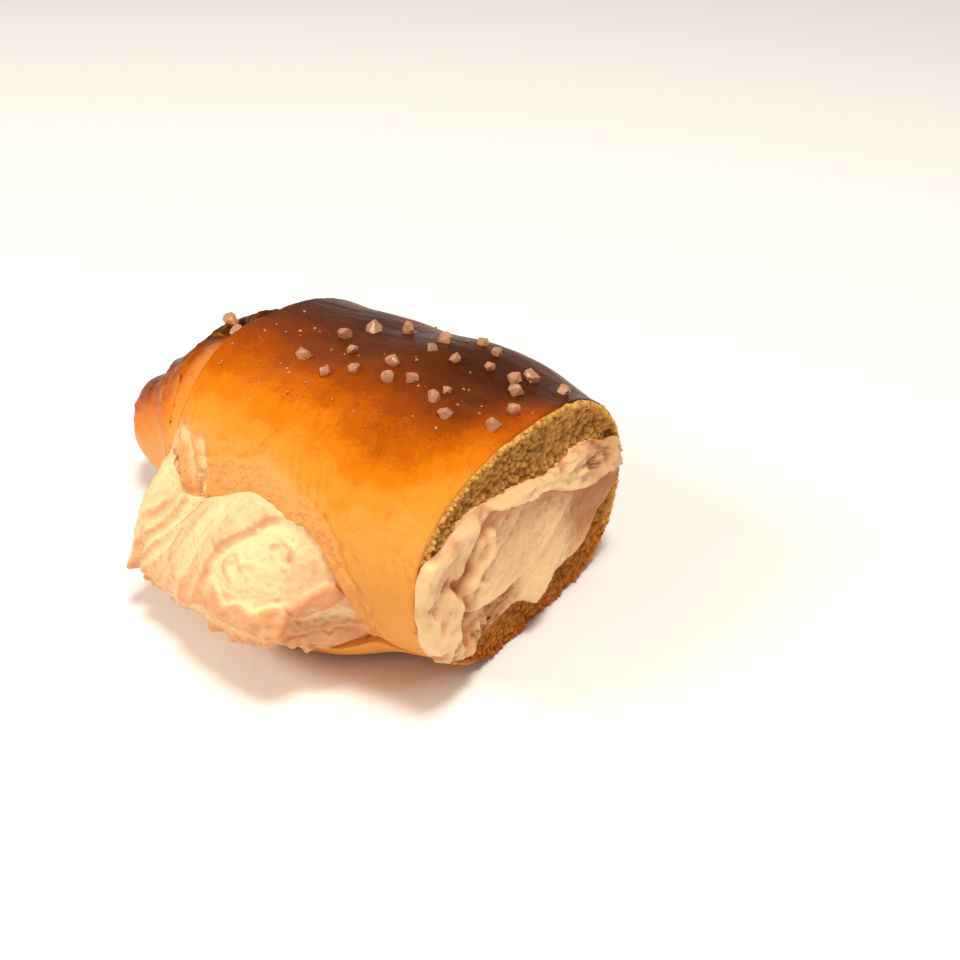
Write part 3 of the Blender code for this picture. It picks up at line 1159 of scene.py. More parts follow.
@dataclass(frozen=True)
class FloorFinish(Finish):
    """A plain pale floor."""

    name: str = "pale_floor"
    even: Even = (("Base Color", linear((254, 253, 251))), ("Roughness", 0.8))

    def build(self) -> Material:
        """Makes the material."""
        return self.start()[0]


@dataclass
class Ground:
    """The crust laid out as a grid: each vertex's place along the roll, angle and plain point."""

    x: Array
    turned: Array
    plain: Array

    @property
    def z(self) -> Array:
        """Height of each plain point."""
        return self.plain[..., 2]


@dataclass
class Crust:
    """The crust with its rolled layers, the slit's torn lips and the rim of the cut."""

    roll: Roll
    pocket: Pocket
    noise: Noise
    columns: int = 620
    first_angle: float = 210
    first_turn: float = 340
    nose_rows: int = 12
    nose_share: float = 0.7
    spans: tuple[int, ...] = (13, 20, 34, 150)
    edge_rows: tuple[float, ...] = (-0.00045, -0.0002, 0.0, 0.0002, 0.00045)
    lip_knots: tuple[float, float, int] = (-0.040, 0.047, 180)
    lip_rows: int = 9
    lip_depth: float = 0.0040
    lip_roughness: Waves = Waves(0.0016, 0.0003)
    narrowest_slit: float = 4
    darkest: float = 66
    fade: float = 84
    paler_at_cut: float = 0.36
    shift: tuple[tuple[float, float], ...] = (
        (-0.066, 34), (-0.054, 29), (-0.046, 24), (-0.038, 22), (-0.0275, 4), (-0.020, -2), (-0.004, 0),
        (0.012, 1), (0.028, 8), (0.036, 6), (0.042, 2),
    )  # fmt: skip
    torn_edge: tuple[tuple[float, float], ...] = (
        (-0.030, 0.036), (-0.024, 0.040), (-0.017, 0.0385), (-0.007, 0.0425), (0.002, 0.0450),
        (0.010, 0.0450), (0.0165, 0.0428), (0.022, 0.0412), (0.0264, 0.0380), (0.0306, 0.0322),
        (0.035, 0.0265),
    )  # fmt: skip
    ragged: tuple[Waves, ...] = (Waves(0.006, 0.0016), Waves(0.0014, 0.0004, 2))
    crumpled: Ridges = Ridges(0.0034, 0.00050, 3, (1, 1, 0.7), sharpness=2.6)
    torn_depth: float = 0.00040
    torn_skin: float = 0.00025
    flap_zone: Zone = Zone(-0.0262, 0.002, -0.0120, 0.003)
    flap: tuple[Mark, ...] = (
        Mark(RIDGE, 0.0020, 0.0013, ((-0.0208, 149), (-0.0175, 156), (-0.0155, 164), (-0.0142, 174))),
        Mark(RIDGE, 0.0016, 0.0011, ((-0.0241, 152), (-0.0230, 160), (-0.0195, 168), (-0.0178, 176))),
        Mark(GROOVE, 0.0012, 0.0009, ((-0.0200, 156), (-0.0178, 166), (-0.0160, 176))),
        Mark(RIDGE, 0.0012, 0.0010, ((-0.0154, 148), (-0.0124, 159), (-0.0130, 168))),
    )
    flap_waves: Waves = Waves(0.0022, 0.0005)
    creases: tuple[Mark, ...] = (
        Mark(RIDGE, 0.00042, 0.0006, ((0.0194, 118), (0.0225, 123), (0.0240, 129))),
        Mark(RIDGE, 0.00038, 0.0006, ((0.0224, 115), (0.0262, 121), (0.0275, 127))),
        Mark(GROOVE, 0.00038, 0.0005, ((0.0210, 117), (0.0244, 122), (0.0257, 128))),
        Mark(GROOVE, 0.00045, 0.0004, ((0.0005, 138), (0.0010, 134), (0.0023, 131))),
        Mark(RIDGE, 0.00032, 0.0007, ((0.0080, 113), (0.0110, 120), (0.0105, 127))),
    )
    degree: float = 0.00055
    broad: Waves = Waves(0.014, 0.00030, 2, (1, 1.3, 1.3))
    stretched: Waves = Waves(0.0045, 0.00014, 3, (0.5, 1.6, 1.6))
    facing: Zone = Zone(104, 14, 180, 20)
    wrinkle_height: float = 0.00022
    wrinkle_pitch: float = 2600
    wrinkle_wander: Waves = Waves(0.006, 0.0015, 2)
    blisters: Spots = Spots(0.0042, 0.00034, 0.36, 0.3)
    pimples: Spots = Spots(0.0017, 0.00016, 0.40, 0.3)
    flaky_zone: Zone = Zone(-0.0006, 0.0008, 0.013, 0.004)
    flaky_middle: float = 78
    flaky_spread: float = 26
    flake_height: float = 0.0009
    shards: Ridges = Ridges(0.0052, 0.0011, 3, (1, 1, 1.2), sharpness=3.4)
    pits: Spots = Spots(0.0034, 0.0006, 0.55, 0.4)
    pulled_zone: Zone = Zone(0.0, 0.0008, 0.0095, 0.006)
    pulled: tuple[Streaks, ...] = (Streaks(0.0012, 0.010, 0.00030), Streaks(0.0030, 0.012, 0.00052, 5))
    underside_height: float = 0.004
    underside_waves: Waves = Waves(0.003, 0.00015)
    rim_width: float = 0.0030
    chips: Waves = Waves(0.0042, 1.0, 3, (0.5, 1, 1))
    seams: tuple[float, ...] = (0.35, 0.55, 0.80)
    seam_zone: Zone = Zone(0.0, 0.0006, 0.0080, 0.0065)
    seam_angles: Zone = Zone(96, 14, 235, 20)
    seam_streaks: Streaks = Streaks(0.0015, 18, 0.5, 2)
    shadow_angles: Zone = Zone(80, 10, 132, 14)

    def _lips(self, x: Array) -> tuple[Array, Array]:
        """Section angles of the upper and lower lip; both the same where the slit hasn't begun.

        Args:
            x: Places along the roll.

        Returns:
            Both angles for each x, in degrees.
        """
        knots = np.linspace(*self.lip_knots)
        upper, lower = (self.roll.front_angle(knots, z) for z in self.pocket.lip_heights(knots))
        lower = np.maximum(lower, upper + self.narrowest_slit)
        middle = (upper + lower) / 2
        opened = np.sqrt(rise(knots, self.pocket.end + 0.0005, 0.005))
        upper, lower = (middle + (lip - middle) * opened for lip in (upper, lower))
        return np.interp(x, knots, upper), np.interp(x, knots, lower)

    def _rows(self, angle: Array) -> Array:
        """X of each vertex of the mesh at angles: rows follow the layers' edges.

        Args:
            angle: Angles round the section, one for each column or one grid of them for each row.

        Returns:
            The grid of X.
        """
        roll = self.roll
        places = [(0, t**2, 0.0) for t in np.linspace(0.02, 0.95, self.nose_rows)]
        for span, count in enumerate(self.spans, 1):
            if span > 1:
                places += [(span, 0.0, shift) for shift in self.edge_rows]
            places += [(span, t, 0.0) for t in np.linspace(0, 1, count + 2)[1:-1]]
        places.append((len(self.spans), 1.0, 0.0))
        rows = []
        for i, (span, share, shift) in enumerate(places):
            at = angle[i] if angle.ndim == 2 else angle
            nose = [np.full_like(at, roll.tip + roll.nose * part) for part in (0, self.nose_share)]
            bounds = [*nose, *(roll.edge(wrap, at) for wrap in roll.wraps), np.full_like(at, roll.cut)]
            rows.append(bounds[span] + (bounds[span + 1] - bounds[span]) * share + shift)
        return np.stack(rows)

    def _grid(self) -> tuple[Array, Array]:
        """X and section angle of every vertex of the outside, from one lip round to the other."""
        share = np.linspace(0, 1, self.columns)
        angle = self.first_angle + share * self.first_turn
        for _ in range(3):
            x = self._rows(angle)
            upper, lower = self._lips(x)
            angle = lower + (upper + 360 - lower) * share
        return x, angle

    def _before(self, wrap: Wrap, ground: Ground) -> Array:
        """How far each place lies before a layer's edge."""
        return self.roll.edge(wrap, ground.turned) - ground.x

    def _flaky(self, ground: Ground) -> Array:
        """Where the crust is flaky: the ridge of torn skin before the widest layer's edge, on top."""
        on_top = bell(ground.turned - self.flaky_middle, self.flaky_spread)
        return self.flaky_zone.share(self._before(self.roll.wraps[2], ground)) * on_top

    def _fine_relief(self, ground: Ground) -> Array:
        """Dimples, wrinkles, flakes and stretch marks, as a height over the plain crust.

        Args:
            ground: The crust's grid.

        Returns:
            A height for each vertex.
        """
        noise, turned, points = self.noise, ground.turned, ground.plain
        facing = self.facing.share(turned)
        wander = self.wrinkle_wander.on(noise, points)
        across = (points[..., 0] * 0.9 + 0.5 * ground.z + wander) * self.wrinkle_pitch
        wrinkled = smooth(noise.layered(points + 0.3, 0.008, 2) * 2.2)
        bumps = self.blisters.on(noise, points) * rise(turned, 95, 20) + self.pimples.on(noise, points)
        height = self.broad.on(noise, points) + self.stretched.on(noise, points)
        height = height + self.wrinkle_height * np.sin(across) * facing * wrinkled + bumps * facing
        down = turned * self.degree
        for mark in self.creases:
            height = height + mark.scaled(self.degree).relief(ground.x, down)
        flaky = self._flaky(ground)
        flakes = self.flake_height + self.shards.on(noise, points) + self.pits.on(noise, points)
        height = height + flaky * flakes
        strips = [self.pulled_zone.share(self._before(wrap, ground)) for wrap in self.roll.wraps]
        pulled = sum(streaks.on(noise, ground.x, down) for streaks in self.pulled)
        return height + np.max(strips, axis=0) * pulled * (1 - flaky)

    def _flap(self, ground: Ground) -> tuple[Array, Array]:
        """The crumpled flap of dough at the slit's left end: its height and where it is.

        Args:
            ground: The crust's grid.

        Returns:
            A height for each vertex, and a share from 0 outside the flap to 1 on it.
        """
        down, above = ground.turned * self.degree, ground.turned < 200
        height = sum(mark.scaled(self.degree).relief(ground.x, down) for mark in self.flap)
        return height * above, self.flap_zone.share(ground.x) * rise(ground.turned, 146, 5) * above

    def _torn(self, ground: Ground) -> tuple[Array, Array]:
        """Where the dough is torn above the slit, and the edge of the skin that stands up round it.

        Args:
            ground: The crust's grid.

        Returns:
            Two shares from 0 to 1 for each vertex.
        """
        turned = ground.turned
        slit = Zone(-0.031, 0.004, 0.038, 0.005).share(ground.x) * ((turned > 120) & (turned < 205))
        ragged = sum(waves.on(self.noise, ground.plain) for waves in self.ragged)
        below = np.interp(ground.x, *zip(*self.torn_edge)) - ground.z + ragged
        return smooth(below / 0.0012) * slit, bell(below, 0.0006) * slit

    def _bake(self, ground: Ground) -> Array:
        """How brown each place is, 0 to 1: darkest on top, behind the middle.

        Args:
            ground: The crust's grid.

        Returns:
            A share for each vertex.
        """
        turned = np.where(ground.turned > 246, ground.turned - 360, ground.turned)
        wander = self.noise.layered(ground.plain * (0.8, 1, 1), 0.016, 3) * (7 + 8 * fall(turned, 62, 22))
        wander = wander + self.noise.layered(ground.plain, 0.0045, 2) * 2.5
        shift = curve(ground.x, *zip(*self.shift))
        ahead = turned - self.darkest - shift
        past = np.where(ahead > 0, ahead, -ahead * 0.8 - 2 * shift * 0.4)
        paler = self.paler_at_cut * rise(ground.x, 0.033, 0.011) * rise(turned, 60, 26)
        return np.clip(1 - (past + wander) / self.fade, 0, 1) * (1 - paler)

    def _seam(self, ground: Ground) -> Array:
        """Where the dough is pale and pulled: before the layers' edges, and on the flakes' crests.

        Args:
            ground: The crust's grid.

        Returns:
            A share for each vertex.
        """
        low = self.seam_angles.share(ground.turned)
        streak = 0.75 + self.seam_streaks.on(self.noise, ground.x, ground.turned)
        strips = (self.seam_zone.share(self._before(wrap, ground)) for wrap in self.roll.wraps)
        seam = sum(strength * streak * strip * low for strength, strip in zip(self.seams, strips))
        flaky = self._flaky(ground)
        crests = smooth(1.1 - np.abs(self.noise.layered(ground.plain * (1, 1, 1.2), 0.0052, 3)) * 7)
        patches = smooth(self.noise.layered(ground.plain + 0.1, 0.0060, 2) * 2 + 0.6)
        return seam * (1 - flaky) + 0.55 * flaky * crests * patches

    def _scorch_and_shade(self, ground: Ground, underside: Array) -> Array:
        """Where the crust is scorched underneath and low down, with painted shadow along the widest layer's
        edge.

        Args:
            ground: The crust's grid.
            underside: 1 on the underside, 0 elsewhere.

        Returns:
            A share for each vertex.
        """
        patchy = smooth(self.noise.layered(ground.plain, 0.006, 3) * 2 + 0.4)
        # Painted shadow: a dark line along the widest layer's edge, on top and towards the front.
        shadow = bell(0.0004 - self._before(self.roll.wraps[2], ground), 0.0006)
        scorch_and_shade = underside * 0.55 + 0.6 * fall(ground.z, 0.0009, 0.001)
        scorch_and_shade = scorch_and_shade + 0.45 * patchy * fall(ground.z, 0.009, 0.006)
        return scorch_and_shade + 0.80 * shadow * self.shadow_angles.share(ground.turned)

    def build(self, finish: Material) -> Object:
        """Makes the crust.

        Args:
            finish: Its material.

        Returns:
            The crust's object.
        """
        noise = self.noise
        x, angle = self._grid()
        plain = self.roll.points(x, angle)
        ground = Ground(x, angle % 360, plain)
        torn, skin = self._torn(ground)
        folded, flap = self._flap(ground)
        underside = fall(ground.z, self.underside_height, self.underside_height)
        rim_low = fall(ground.z, 0.030, 0.012) * rise(plain[..., 1], -0.026, 0.01)
        near_cut = rise(x, self.roll.cut - self.rim_width, self.rim_width)
        chips = self.chips.on(noise, plain)

        height = self._fine_relief(ground)
        height = height - torn * (self.torn_depth - self.crumpled.on(noise, plain)) + skin * self.torn_skin
        height = height + folded + flap * self.flap_waves.on(noise, plain)
        height = height * (1 - underside) + underside * self.underside_waves.on(noise, plain)
        height = height + near_cut * (0.00020 * chips - 0.00020 - rim_low * 0.0011 * (0.4 + chips))
        points = plain - grid_normals(plain, False) * height[..., None]
        sunk = 0.5 + 0.5 * noise.layered(plain, 0.0025, 3)
        points[..., 0] -= near_cut * (0.00025 + rim_low * 0.0008) * sunk

        scorch_and_shade = self._scorch_and_shade(ground, underside) + rim_low * near_cut * 0.8 * smooth(chips * 2)
        # Painted shade: the crust is darker in the creases of its relief, more so on the flap.
        crease_shade = creases(height, 2, 0.00022)
        painted = {
            "bake": self._bake(ground),
            "torn": np.maximum(torn, flap * 0.75),
            "seam": self._seam(ground),
            "scorch_and_shade": scorch_and_shade + crease_shade * (0.30 + 0.25 * flap) * (1 - underside),
            "smear": np.clip(folded / 0.0012, 0, 0.85) + 0.25 * flap,
        }
        points, painted = self._add_lips(*self._add_rim(points, painted))
        points[..., 2] = np.maximum(points[..., 2], 0)
        obj = grid_object("crust", points)
        for name, values in painted.items():
            paint(obj, name, np.clip(values, 0, 1))
        obj.data.materials.append(finish)
        return obj

    def _add_rim(self, points: Array, painted: dict[str, Array]) -> tuple[Array, dict[str, Array]]:
        """Turns the crust inwards at the cut, behind the crumb.

        Args:
            points: The outside's grid.
            painted: Its painted numbers.

        Returns:
            The longer grid and its numbers.
        """
        edge = points[-1]
        reach, angle = self.pocket.polar(edge[:, 1], edge[:, 2])
        inner = self.pocket.place(np.full(self.columns, self.roll.cut), angle, reach - 0.0018)
        inner[:, 0] = edge[:, 0]
        middle = edge * 0.72 + inner * 0.28 + np.array([0.0001, 0, 0])
        points = np.concatenate([points, middle[None], (inner - np.array([0.0012, 0, 0]))[None]])
        longer = {}
        for name, values in painted.items():
            last = values[-1:]
            rows = {"bake": (last * 0.85, last * 0.5), "torn": (last * 0 + 0.1, last * 0 + 0.4)}
            longer[name] = np.concatenate([values, *rows.get(name, (last, last))])
        return points, longer

    def _add_lips(self, points: Array, painted: dict[str, Array]) -> tuple[Array, dict[str, Array]]:
        """Turns both edges of the slit inwards, as torn crumb.

        Args:
            points: The outside's grid.
            painted: Its painted numbers.

        Returns:
            The wider grid and its numbers.
        """
        pocket, sides = self.pocket, []
        for column in (0, -1):
            edge = points[:, column]
            inward = np.stack([edge[:, 0] * 0, pocket.axis_y - edge[:, 1], pocket.axis_z - edge[:, 2]], -1)
            inward /= np.maximum(np.linalg.norm(inward, axis=-1, keepdims=True), 1e-9)
            added = []
            for k in range(1, self.lip_rows + 1):
                spot = edge + inward * self.lip_depth * k / self.lip_rows
                rough = self.lip_roughness.on(self.noise, spot)[:, None]
                added.append(spot + rough * np.array([0, 0, 1.0]))
            sides.append(np.stack(added, axis=1))
        points = np.concatenate([sides[0][:, ::-1], points, sides[1]], axis=1)
        depth = np.linspace(0.3, 1, self.lip_rows)[None]
        wider = {}
        for name, values in painted.items():
            fill = 1.0 if name == "torn" else 0.0
            before = values[:, :1] * (1 - depth[:, ::-1]) + fill * depth[:, ::-1]
            after = values[:, -1:] * (1 - depth) + fill * depth
            wider[name] = np.concatenate([before, values, after], axis=1)
        return points, wider


def circle(angle: Array) -> Array:
    """Points of a unit circle at angles in degrees."""
    turn = np.radians(angle)
    return np.stack([np.cos(turn), np.sin(turn), angle * 0], axis=-1)


def domes(distance: Array, radius: float) -> Array:
    """Round domes of height 1 over the places where the distance is 0."""
    return np.clip(1 - (distance / radius) ** 2, 0, 1)


@dataclass
class CrumbFace:
    """The torn crumb between the crust and the cream on the cut face."""

    roll: Roll
    pocket: Pocket
    noise: Noise
    columns: int = 760
    rows: int = 62
    overlap: float = 1.0
    rim: float = 0.0001
    ragged: Waves = Waves(0.0024, 0.0006)
    tuck: float = 0.0020
    skirt: float = 0.0016
    lump: float = 0.0017
    grain: float = 0.0009
    dome: float = 0.75
    bead: float = 0.7
    lump_share: float = 0.6
    lump_height: float = 0.0011
    sag: float = 0.0011
    crack_width: float = 0.14
    crack_depth: float = 0.00025
    broad: Waves = Waves(0.0060, 0.0006)
    bead_height: float = 0.0009
    chips: Waves = Waves(0.0042, 0.0008, 3, (0.5, 1, 1))
    base_from: float = 0.018
    base_fade: float = 0.008

    def build(self, finish: Material) -> Object:
        """Makes the face.

        Args:
            finish: Its material.

        Returns:
            The face's object.
        """
        roll, pocket, noise = self.roll, self.pocket, self.noise
        upper, lower = pocket.lip_angles(np.array([roll.cut]))
        angle = np.linspace(lower[0] - self.overlap, upper[0] + 360 + self.overlap, self.columns)
        crust = pocket.crust_reach(roll.cut, angle)
        inner = pocket.reach(roll.cut, angle, crust) - self.tuck
        share = np.linspace(0, 1, self.rows)[:, None]
        ragged = np.clip(self.ragged.on(noise, circle(angle) * crust[:, None]), -0.0003, 0.0002)
        outer = crust - self.rim + ragged
        reach = outer * (1 - share) + inner * share
        points = pocket.place(roll.cut, np.broadcast_to(angle, reach.shape), reach)
        depth = outer - reach
        below = fall(points[..., 2], self.base_from, self.base_fade)

        near, second = noise.cells(points * (1, 1, 1.15), self.lump)
        small, _ = noise.cells(points + 0.5, self.grain)
        lumps = domes(near, self.dome) * self.lump_share + domes(small, self.dome) * (1 - self.lump_share)
        gap = self.crack_width - (second - near)
        cracks = smooth(gap / self.crack_width) * smooth(noise.layered(points, 0.0045, 2) * 2 + 0.5)
        sag = np.sin(share * math.pi) * np.clip((crust - inner)[None] / 0.012, 0, 1)
        relief = 0.0002 - sag * self.sag * (1 - 0.6 * below)
        relief = relief + (lumps - 0.5) * self.lump_height * (1 - 0.5 * below) - cracks * self.crack_depth
        relief = relief + self.broad.on(noise, points)
        beads = bell(depth - 0.0008, 0.0010) * domes(small, self.bead) * self.bead_height
        sunk = below * fall(depth, 0.004, 0.004) * (0.0006 + self.chips.on(noise, points))
        relief = relief * smooth(depth / 0.0020) + beads - sunk
        points = points + relief[..., None] * np.array([math.cos(roll.turn), -math.sin(roll.turn), 0])

        edge = smooth((0.0019 + 0.0012 * noise.layered(points, 0.0020, 3) - depth) / 0.0010)
        bottom = smooth((0.0040 + 0.0016 * noise.layered(points, 0.003, 3) - depth) / 0.0020) * below
        painted = {
            # Also painted shade: lower in cracks, sags and between lumps, which the crumb's colour turns
            # darker.
            "height": np.clip(lumps * 0.75 - sag * 0.10 - cracks * 0.25 + 0.12, 0, 1),
            "low": below,
            "base": fall(points[..., 2], 0.011, 0.005),
            "rim": np.clip(np.maximum(edge, bottom), 0, 1),
        }
        skirt = points[:1] - np.array([self.skirt, 0, 0])
        obj = grid_object("crumb_face", np.concatenate([skirt, points]), flip=True)
        for name, values in painted.items():
            paint(obj, name, np.concatenate([values[:1], values]))
        obj.data.materials.append(finish)
        return obj


@dataclass(frozen=True)
class Peak:
    """The cream's pulled tip: its place on the swell, height, length and width, and how far it leans."""

    x: float
    share: float
    height: float
    length: float
    width: float
    lean: float

    def at(self, x: Array, share: Array) -> Array:
        """How much of the tip there is at places on the swell."""
        return np.exp(-1.5 * np.hypot((x - self.x) / self.length, (share - self.share) / self.width))


@dataclass
class CreamFilling:
    """The cream: it fills the pocket, swells out of the slit and is smeared over the cut face."""

    roll: Roll
    pocket: Pocket
    noise: Noise
    gap: float = 0.0003
    end_gap: float = 0.0036
    swell: float = 0.0125
    profile: tuple[tuple[float, float], ...] = (
        (0, 0.06), (0.2, 0.45), (0.4, 0.82), (0.60, 1.0), (0.80, 0.74), (0.92, 0.34), (1, 0.05),
    )  # fmt: skip
    swell_from: float = -0.0325
    swell_to: float = 0.0315
    rise: float = 0.0080
    fall: float = 0.0200
    undercut: float = 0.55
    undercut_from: float = 0.002
    undercut_length: float = 0.014
    right_end: float = 0.65
    spread: float = 0.0075
    spread_length: float = 0.016
    peak: Peak = Peak(-0.0262, 0.66, 0.0052, 0.0024, 0.075, 0.0020)
    slit_span: float = 0.036
    swell_marks: tuple[Mark, ...] = (
        Mark(FOLD, 0.0010, 0.0045, ((0.0004, 0.40), (0.0010, 0.32), (0.0040, 0.22), (0.0130, 0.02))),
        Mark(FOLD, -0.0010, 0.0030, ((0.0030, 0.46), (0.0055, 0.52), (0.0100, 0.46), (0.0140, 0.47))),
        Mark(FOLD, -0.0012, 0.0036, ((0.0140, 0.45), (0.0207, 0.37), (0.0227, 0.28), (0.0252, 0.13))),
        Mark(FOLD, 0.0010, 0.0036, ((0.0180, 0.58), (0.0200, 0.48), (0.0235, 0.42), (0.0285, 0.12))),
        Mark(GROOVE, 0.0006, 0.0005, ((0.0046, 0.37), (0.0042, 0.33), (0.0062, 0.29), (0.0080, 0.33))),
        Mark(RIDGE, 0.0005, 0.0008, ((0.0060, 0.34), (0.0070, 0.36), (0.0085, 0.35))),
        Mark(GROOVE, 0.0005, 0.0005, ((0.0134, 0.16), (0.0146, 0.13), (0.0165, 0.13), (0.0172, 0.18))),
        Mark(RIDGE, 0.0004, 0.0007, ((0.0146, 0.17), (0.0158, 0.20), (0.0170, 0.22))),
        Mark(GROOVE, 0.0005, 0.0010, ((-0.0136, 0.22), (-0.0138, 0.36), (-0.0107, 0.46), (-0.0074, 0.48))),
        Mark(GROOVE, 0.0007, 0.0008, ((0.0190, 0.45), (0.0186, 0.53), (0.0207, 0.58))),
        Mark(RIDGE, 0.0007, 0.0011, ((0.0215, 0.62), (0.0225, 0.52), (0.0255, 0.45), (0.0280, 0.35))),
        Mark(GROOVE, 0.0006, 0.0007, ((-0.0239, 0.55), (-0.0198, 0.30), (-0.0165, 0.04))),
        Mark(GROOVE, 0.0005, 0.0006, ((-0.0210, 0.50), (-0.0161, 0.20), (-0.0100, 0.04))),
        Mark(GROOVE, 0.0004, 0.0005, ((-0.0236, 0.45), (-0.0210, 0.25), (-0.0188, 0.08))),
        Mark(RIDGE, 0.0005, 0.0009, ((-0.0222, 0.52), (-0.0180, 0.26), (-0.0130, 0.06))),
        Mark(FOLD, 0.0007, 0.0030, ((-0.0070, 0.60), (0.0010, 0.56), (0.0060, 0.60), (0.0130, 0.57))),
    )
    proud: float = 0.0010
    face_edge: tuple[tuple[float, float], ...] = (
        (0, 0.0374), (16, 0.0355), (21, 0.0305), (28, 0.0232), (45, 0.0178), (79, 0.0158), (112, 0.0186),
        (129, 0.0226), (146, 0.0284), (156, 0.0324), (168, 0.0308), (180, 0.0296), (188, 0.0276),
        (205, 0.0262), (216, 0.0248), (226, 0.0196), (240, 0.0150), (262, 0.0125), (274, 0.0140),
        (286, 0.0176), (311, 0.0180), (332, 0.0205), (342, 0.0255), (350, 0.0335), (360, 0.0374),
    )  # fmt: skip
    face_marks: tuple[Mark, ...] = (
        Mark(GROOVE, 0.0015, 0.0015, ((-0.0097, 0.0379), (-0.0134, 0.0366), (-0.0180, 0.0352),
                                      (-0.0199, 0.0336), (-0.0217, 0.0305), (-0.0240, 0.0290))),
        Mark(RIDGE, 0.0011, 0.0014, ((-0.0125, 0.0346), (-0.0134, 0.0295), (-0.0171, 0.0282),
                                     (-0.0208, 0.0278))),
        Mark(GROOVE, 0.0015, 0.0013, ((-0.0253, 0.0300), (-0.0225, 0.0250), (-0.0219, 0.0204),
                                      (-0.0224, 0.0162), (-0.0229, 0.0127))),
        Mark(FOLD, 0.0011, 0.0030, ((-0.0219, 0.0204), (-0.0162, 0.0187), (-0.0094, 0.0171),
                                    (-0.0060, 0.0174))),
        Mark(FOLD, 0.0008, 0.0020, ((-0.0200, 0.0150), (-0.0133, 0.0132), (-0.0110, 0.0150))),
        Mark(FOLD, 0.0018, 0.0034, ((-0.0120, 0.0395), (0.0001, 0.0357), (0.0107, 0.0311),
                                             (0.0187, 0.0273), (0.0300, 0.0258))),
        Mark(RIDGE, 0.0007, 0.0009, ((0.0050, 0.0304), (0.0060, 0.0305))),
        Mark(RIDGE, 0.0006, 0.0009, ((-0.0188, 0.0262), (-0.0165, 0.0240), (-0.0150, 0.0225))),
        Mark(RIDGE, 0.0005, 0.0008, ((-0.0300, 0.0310), (-0.0270, 0.0290))),
        Mark(GROOVE, 0.0006, 0.0007, ((-0.0330, 0.0305), (-0.0295, 0.0312), (-0.0270, 0.0325))),
    )  # fmt: skip
    first_section: float = -0.0333
    sections_from: float = -0.0330
    stations: int = 250
    wall_columns: int = 230
    slit_columns: int = 170
    face_rows: int = 120
    spatula: tuple[Streaks, ...] = (Streaks(0.0030, 0.030, 0.00060), Streaks(0.00105, 0.018, 0.00024, 4))
    curls: Ridges = Ridges(0.0050, 0.0014, 2, (1, 1, 1.3))
    small_curls: Ridges = Ridges(0.0021, 0.00045, 2, sharpness=2.2)
    crinkles: Ridges = Ridges(0.0058, 0.00034, 3, (1, 1, 1.2), sharpness=2.6)
    bend: float = 0.0022
    lumps: Waves = Waves(0.0075, 0.00050)
    pocks: Spots = Spots(0.0050, 0.00035, 0.26, 0.2)
    lowest: float = 0.0012
    face_streaks: tuple[Streaks, ...] = (
        Streaks(0.0042, 0.020, 0.00050),
        Streaks(0.0011, 0.012, 0.00016, 7),
    )
    front_zone: Zone = Zone(148, 8, 208, 8)
    front_lumps: tuple[Waves, ...] = (Waves(0.0065, 0.0010, 2), Waves(0.002, 0.0003, 2))
    front_rim: Waves = Waves(0.0042, 0.0010, 2)
    face_curls: Ridges = Ridges(0.0034, 1.0)
    face_waves: Waves = Waves(0.010, 0.0005, 2)

    def _outflow(self, x: float) -> float:
        """How much of the swell there is at x."""
        started = float(rise(x, self.swell_from, self.rise)) ** 0.5
        return started * float(fall(x, self.swell_to, self.fall)) ** 0.6

    def _wall(self, x: float, angle: Array) -> Array:
        """Distance of the cream inside the pocket from the pocket's line.

        Args:
            x: Place along the roll.
            angle: Angles round the line, in degrees.

        Returns:
            A distance for each angle.
        """
        pocket = self.pocket
        shrink = self.gap + self.end_gap * (1 - float(rise(x, pocket.end, pocket.taper)))
        reach = pocket.reach(x, angle, pocket.crust_reach(x, angle))
        return np.maximum(reach - shrink, reach * 0.4)

    def _section(self, x: float) -> Array:
        """Points round the cream at one x: the pocket's wall first, then across the slit.

        Args:
            x: Place along the roll.

        Returns:
            The ring of points.
        """
        pocket = self.pocket
        upper, lower = (float(lip[0]) for lip in pocket.lip_angles(np.array([x])))
        around = np.linspace(lower, upper + 360, self.wall_columns)
        share = np.linspace(0, 1, self.slit_columns)
        across = upper + (lower - upper) * share
        inside = self._wall(x, across) + self.gap
        amount = self.undercut * (1 - self.right_end * float(rise(x, 0.015, 0.005)))
        started = float(rise(x, self.undercut_from, self.undercut_length))
        crown = curve(share, *zip(*self.profile)) * (1 - amount * started * rise(share, 0.55, 0.35))
        tip = self.peak.at(x, share)
        out = pocket.crust_reach(x, across) + self.swell * crown + self.peak.height * tip
        outflow = self._outflow(x)
        reach = inside + (out - inside) * outflow
        wall = pocket.place(x, around, self._wall(x, around))
        swell = pocket.place(x, across, reach)
        near_end = 1 - float(rise(x, self.swell_from, self.spread_length))
        leaning = self.spread * np.maximum(crown - 0.35, 0) * outflow**2 * near_end
        swell[:, 0] -= leaning + self.peak.lean * tip
        return np.concatenate([wall, swell])

